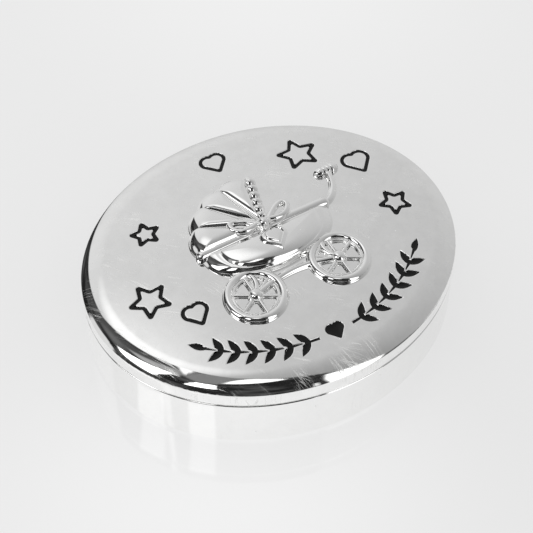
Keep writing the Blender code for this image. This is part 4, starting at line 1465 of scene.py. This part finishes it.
def side_group():
    """Keeps the part of a mask that lies on the inner side of a plane, with a soft edge."""
    group, given, result = start_group("patch_side", ["Direction", "Side"], ["Softness", "Mask"], ["Mask"])
    inward = vector_node(group, "DOT_PRODUCT", given["Direction"], given["Side"])
    outermost = math_node(group, "MULTIPLY", given["Softness"], -1.0)
    inside = ramp(group, inward, outermost, given["Softness"], kind="SMOOTHSTEP")
    feed(group, result, {"Mask": math_node(group, "MULTIPLY", given["Mask"], inside)})
    return group


PATCH_SIDE = side_group()


def patch_mask(tree, direction, sides, softness):
    mask = 1.0
    for side in sides:
        links = {"Direction": direction, "Side": side, "Softness": softness, "Mask": mask}
        mask = use_group(tree, PATCH_SIDE, links)["Mask"]
    return mask


def ray_kinds(tree):
    """Whether a ray is the camera's own, and whether it comes by a mirror or through glass."""
    path = tree.nodes.new("ShaderNodeLightPath").outputs
    mirrored = math_node(tree, "ADD", path["Is Glossy Ray"], path["Is Transmission Ray"], is_clamped=True)
    return path["Is Camera Ray"], mirrored


# %% Table
TABLE_SIZE = 3.0
TABLE_COLOUR = (0.20, 0.20, 0.20, 1.0)
TABLE_ROUGHNESS = (0.02, 0.05)
TABLE_LEVEL = 0.60
TABLE_EDGE = 2 * MM

# Places on the table are millimetres from the middle of the box, to the camera's right and away from it.
TABLE_CORNERS = ((5, 60), (92, -5), (70, -500), (-300, -500), (-190, -130))
TABLE_GAP = ((46, -42), (47, -6), (75, -3), (95, -60))

# Painted light and shade on the table round the box. Each glow has its middle, its reach and its strength
# to the camera and in mirrors. The first is a painted pool of light in front of the box, the second painted
# light far behind it, and the third, which is negative, a painted shade at its right.
PAINTED_LIGHT_AND_SHADE = (((-8, -38), 54, 0.085, 0.13), ((0, 95), 70, 0.05, 0.05), ((62, -22), 50, -0.015, -0.08))
# Each painted pool of light has four corners. The first set is seen by the camera; the second only in
# mirrors, where it paints bright patches into the wall's reflection. Both lie on the table before the box's
# wall, where the wall would throw the softboxes' light.
PAINTED_LIGHT_POOLS_SEEN = (
    ((-22.5, -25.0), (-18.3, -27.8), (-18.3, -35.0), (-22.8, -32.5)),
    ((-13.8, -29.5), (-9.5, -30.5), (-9.5, -38.0), (-14.0, -37.0)),
)
PAINTED_LIGHT_POOLS_MIRRORED = (
    ((-22.0, -24.8), (-17.6, -27.5), (-24.5, -32.3), (-30.0, -27.0)),
    ((-13.6, -29.2), (-9.2, -30.2), (-12.0, -37.9), (-18.5, -35.7)),
)
PAINTED_POOL_EDGE = 0.5 * MM
PAINTED_POOL_LEVELS = (0.05, 0.10)


def table_point(right, away):
    """A place on the table as the camera sees it, one unit below the eye."""
    turned = Matrix.Rotation(CAMERA_AZIMUTH, 3, "Z") @ Vector((right * MM, away * MM, 0.0))
    return Vector((turned.x, turned.y, 1.0))


def table_mask(tree, ground, corners, softness):
    return patch_mask(tree, ground, patch_sides([table_point(*corner) for corner in corners]), softness)


def acrylic():
    """White acrylic that glows to the camera and in mirrors, with painted light and shade round the box.
    Mirrors see only a part of it.
    """
    material, tree, shader, place = start_material("white_acrylic_with_painted_light")
    smudge = use_group(tree, POLISH, {"Vector": place})["Smudge"]
    ground = vector_node(tree, "ADD", place, (0.0, 0.0, 1.0))
    by_camera, mirrored = ray_kinds(tree)
    seen = math_node(tree, "ADD", mirrored, by_camera, is_clamped=True)
    glow = TABLE_LEVEL
    # Painted light and painted shade round the box, added to the even glow.
    for middle, reach, to_camera, to_mirror in PAINTED_LIGHT_AND_SHADE:
        distance = vector_node(tree, "DISTANCE", ground, table_point(*middle))
        spread = ramp(tree, distance, 0.0, reach * MM, 1.0, 0.0, kind="SMOOTHSTEP")
        strength = blend(tree, mirrored, to_camera, to_mirror)
        glow = math_node(tree, "MULTIPLY_ADD", spread, strength, glow)
    # Painted pools of light, for the camera in one set and for mirrors alone in the other.
    for painted_pools, ray, level in zip((PAINTED_LIGHT_POOLS_SEEN, PAINTED_LIGHT_POOLS_MIRRORED), (by_camera, mirrored), PAINTED_POOL_LEVELS):
        for corners in painted_pools:
            mask = math_node(tree, "MULTIPLY", table_mask(tree, ground, corners, PAINTED_POOL_EDGE), ray)
            glow = math_node(tree, "MULTIPLY_ADD", mask, level, glow)
    inside = table_mask(tree, ground, TABLE_CORNERS, TABLE_EDGE)
    gap = table_mask(tree, ground, TABLE_GAP, TABLE_EDGE)
    inside = math_node(tree, "SUBTRACT", inside, gap, is_clamped=True)
    feed(tree, shader, {
        "Base Color": TABLE_COLOUR,
        "Roughness": ramp(tree, smudge, 0.0, 1.0, *TABLE_ROUGHNESS),
        "Emission Color": math_node(tree, "MULTIPLY", seen, glow),
        "Emission Strength": 1.0,
        "Alpha": blend(tree, mirrored, 1.0, inside),
    })
    return material


def make_table():
    mesh = bmesh.new()
    bmesh.ops.create_grid(mesh, x_segments=2, y_segments=2, size=TABLE_SIZE / 2)
    data = bpy.data.meshes.new("table")
    mesh.to_mesh(data)
    mesh.free()
    data.materials.append(acrylic())
    table = bpy.data.objects.new("table", data)
    bpy.context.scene.collection.objects.link(table)
    return table


print("table:", make_table().name)

# %% Studio
BACKDROP_LEVEL = 0.85
ROOM_LEVELS = (0.015, 0.085)
CLUTTER_SCALE = 4.0
CLUTTER_RANGE = (0.42, 0.70)
SCREEN_LEVEL = 0.38
SCREEN_SLOPE = (0.055, 0.228, 0.0)

# Directions are an azimuth, from the camera's side towards its right, and an elevation, in degrees.
# Each glow on the screen has its middle, its reach and its brightness.
SCREEN_GLOWS = (((-101, 21), 90, 0.252), ((-126, 65.5), 24, 0.46))

# The dark room lies below either of these rows of corners, on the side of a direction inside it.
ROOM_ROWS = (((-111, 41), (-106, 74), (40, 72), (47, 50)), ((-145, -13), (-111, 41)))
ROOM_INSIDE = (-45, 20)
ROOM_SOFTNESS = math.radians(1.2)

# Each patch has its corners, the softness of its edges in degrees and its brightness.
INSIDE_ROOM = (
    (((-125, 10), (-116, 50), (-60, 80), (-30, 70), (-60, 60), (-84, 30)), 10, 0.07),
    (((-86, 48), (-76, 71), (-50, 63), (-71, 49)), 2.5, 0.40),
    (((-80, 30), (-86, 48), (-100, 42), (-100, 28)), 6.0, 0.14),
    (((-77, 14), (-77, 20), (-50, 17), (-50, 9)), 4.0, 0.13),
    (((-90, 79), (-50, 63), (-33, 55), (-16, 60), (-14, 76), (20, 87)), 2.0, 0.22),
)
AGAINST_ROOM = (
    (((-106, 74), (-105, 78), (-85, 78), (-57, 69.5), (-50, 64), (-70, 71)), 1.0, 1.1),
    (((-81, 30), (-52, 60), (-49.5, 19), (-70, 19), (-77, 23)), 1.2, 2.2),
    (((-32, 53), (-19.5, 55), (-16, 36.5), (-33, 31)), 1.0, 2.2),
    (((-18, 64), (-17, 75), (-5, 82), (14, 82.5), (33, 75), (33, 69), (10, 68.5)), 0.8, 1.3),
    (((43.5, 49), (62, 6), (60, -12), (38, -12), (36, 10), (37, 30)), 1.2, 1.5),
    (((-108, -35), (-101, 8), (-86, 15), (-77, 4), (-77, -35)), 2.5, 0.72),
    (((29.8, 3), (31, 23), (32.6, 23), (32.4, 3)), 1.0, 0.9),
    (((62, 1), (62, -32), (92, -32), (76, -6)), 2.0, 0.10),
)


def sky_direction(azimuth, elevation):
    """A direction in the room: X to the camera's right, Y away from the camera."""
    azimuth, elevation = math.radians(azimuth), math.radians(elevation)
    level = math.cos(elevation)
    return Vector((level * math.sin(azimuth), -level * math.cos(azimuth), math.sin(elevation)))


def add_patches(tree, direction, patches, level):
    for corners, softness, brightness in patches:
        sides = patch_sides([sky_direction(*corner) for corner in corners])
        mask = patch_mask(tree, direction, sides, math.radians(softness))
        level = blend(tree, mask, level, brightness)
    return level


def make_studio():
    world = bpy.data.worlds.new("studio")
    world.use_nodes = True
    bpy.context.scene.world = world
    tree = world.node_tree
    tree.nodes.clear()
    around = {"Vector": tree.nodes.new("ShaderNodeTexCoord").outputs["Generated"], "Angle": -CAMERA_AZIMUTH}
    direction = add_node(tree, "ShaderNodeVectorRotate", around, rotation_type="Z_AXIS").outputs[0]
    screen = math_node(tree, "ADD", vector_node(tree, "DOT_PRODUCT", direction, SCREEN_SLOPE), SCREEN_LEVEL)
    for middle, reach, brightness in SCREEN_GLOWS:
        near = vector_node(tree, "DOT_PRODUCT", direction, sky_direction(*middle))
        glow = ramp(tree, near, math.cos(math.radians(reach)), 1.0, 0.0, brightness, kind="SMOOTHSTEP")
        screen = math_node(tree, "ADD", screen, glow)
    clutter = noise(tree, direction, CLUTTER_SCALE, detail=2.0)
    room = add_patches(tree, direction, INSIDE_ROOM, ramp(tree, clutter, *CLUTTER_RANGE, *ROOM_LEVELS))
    inside = 0.0
    for row in ROOM_ROWS:
        corners = [sky_direction(*corner) for corner in row]
        sides = facing_sides(zip(corners, corners[1:]), sky_direction(*ROOM_INSIDE))
        inside = math_node(tree, "MAXIMUM", inside, patch_mask(tree, direction, sides, ROOM_SOFTNESS))
    level = add_patches(tree, direction, AGAINST_ROOM, blend(tree, inside, screen, room))
    by_camera, mirrored = ray_kinds(tree)
    seen = blend(tree, by_camera, blend(tree, mirrored, 1.0, level), BACKDROP_LEVEL)
    background = add_node(tree, "ShaderNodeBackground", {"Color": seen, "Strength": 1.0})
    add_node(tree, "ShaderNodeOutputWorld", {"Surface": background.outputs[0]})
    return world


print("world:", make_studio().name)
bpy.context.scene.view_settings.view_transform = "Standard"
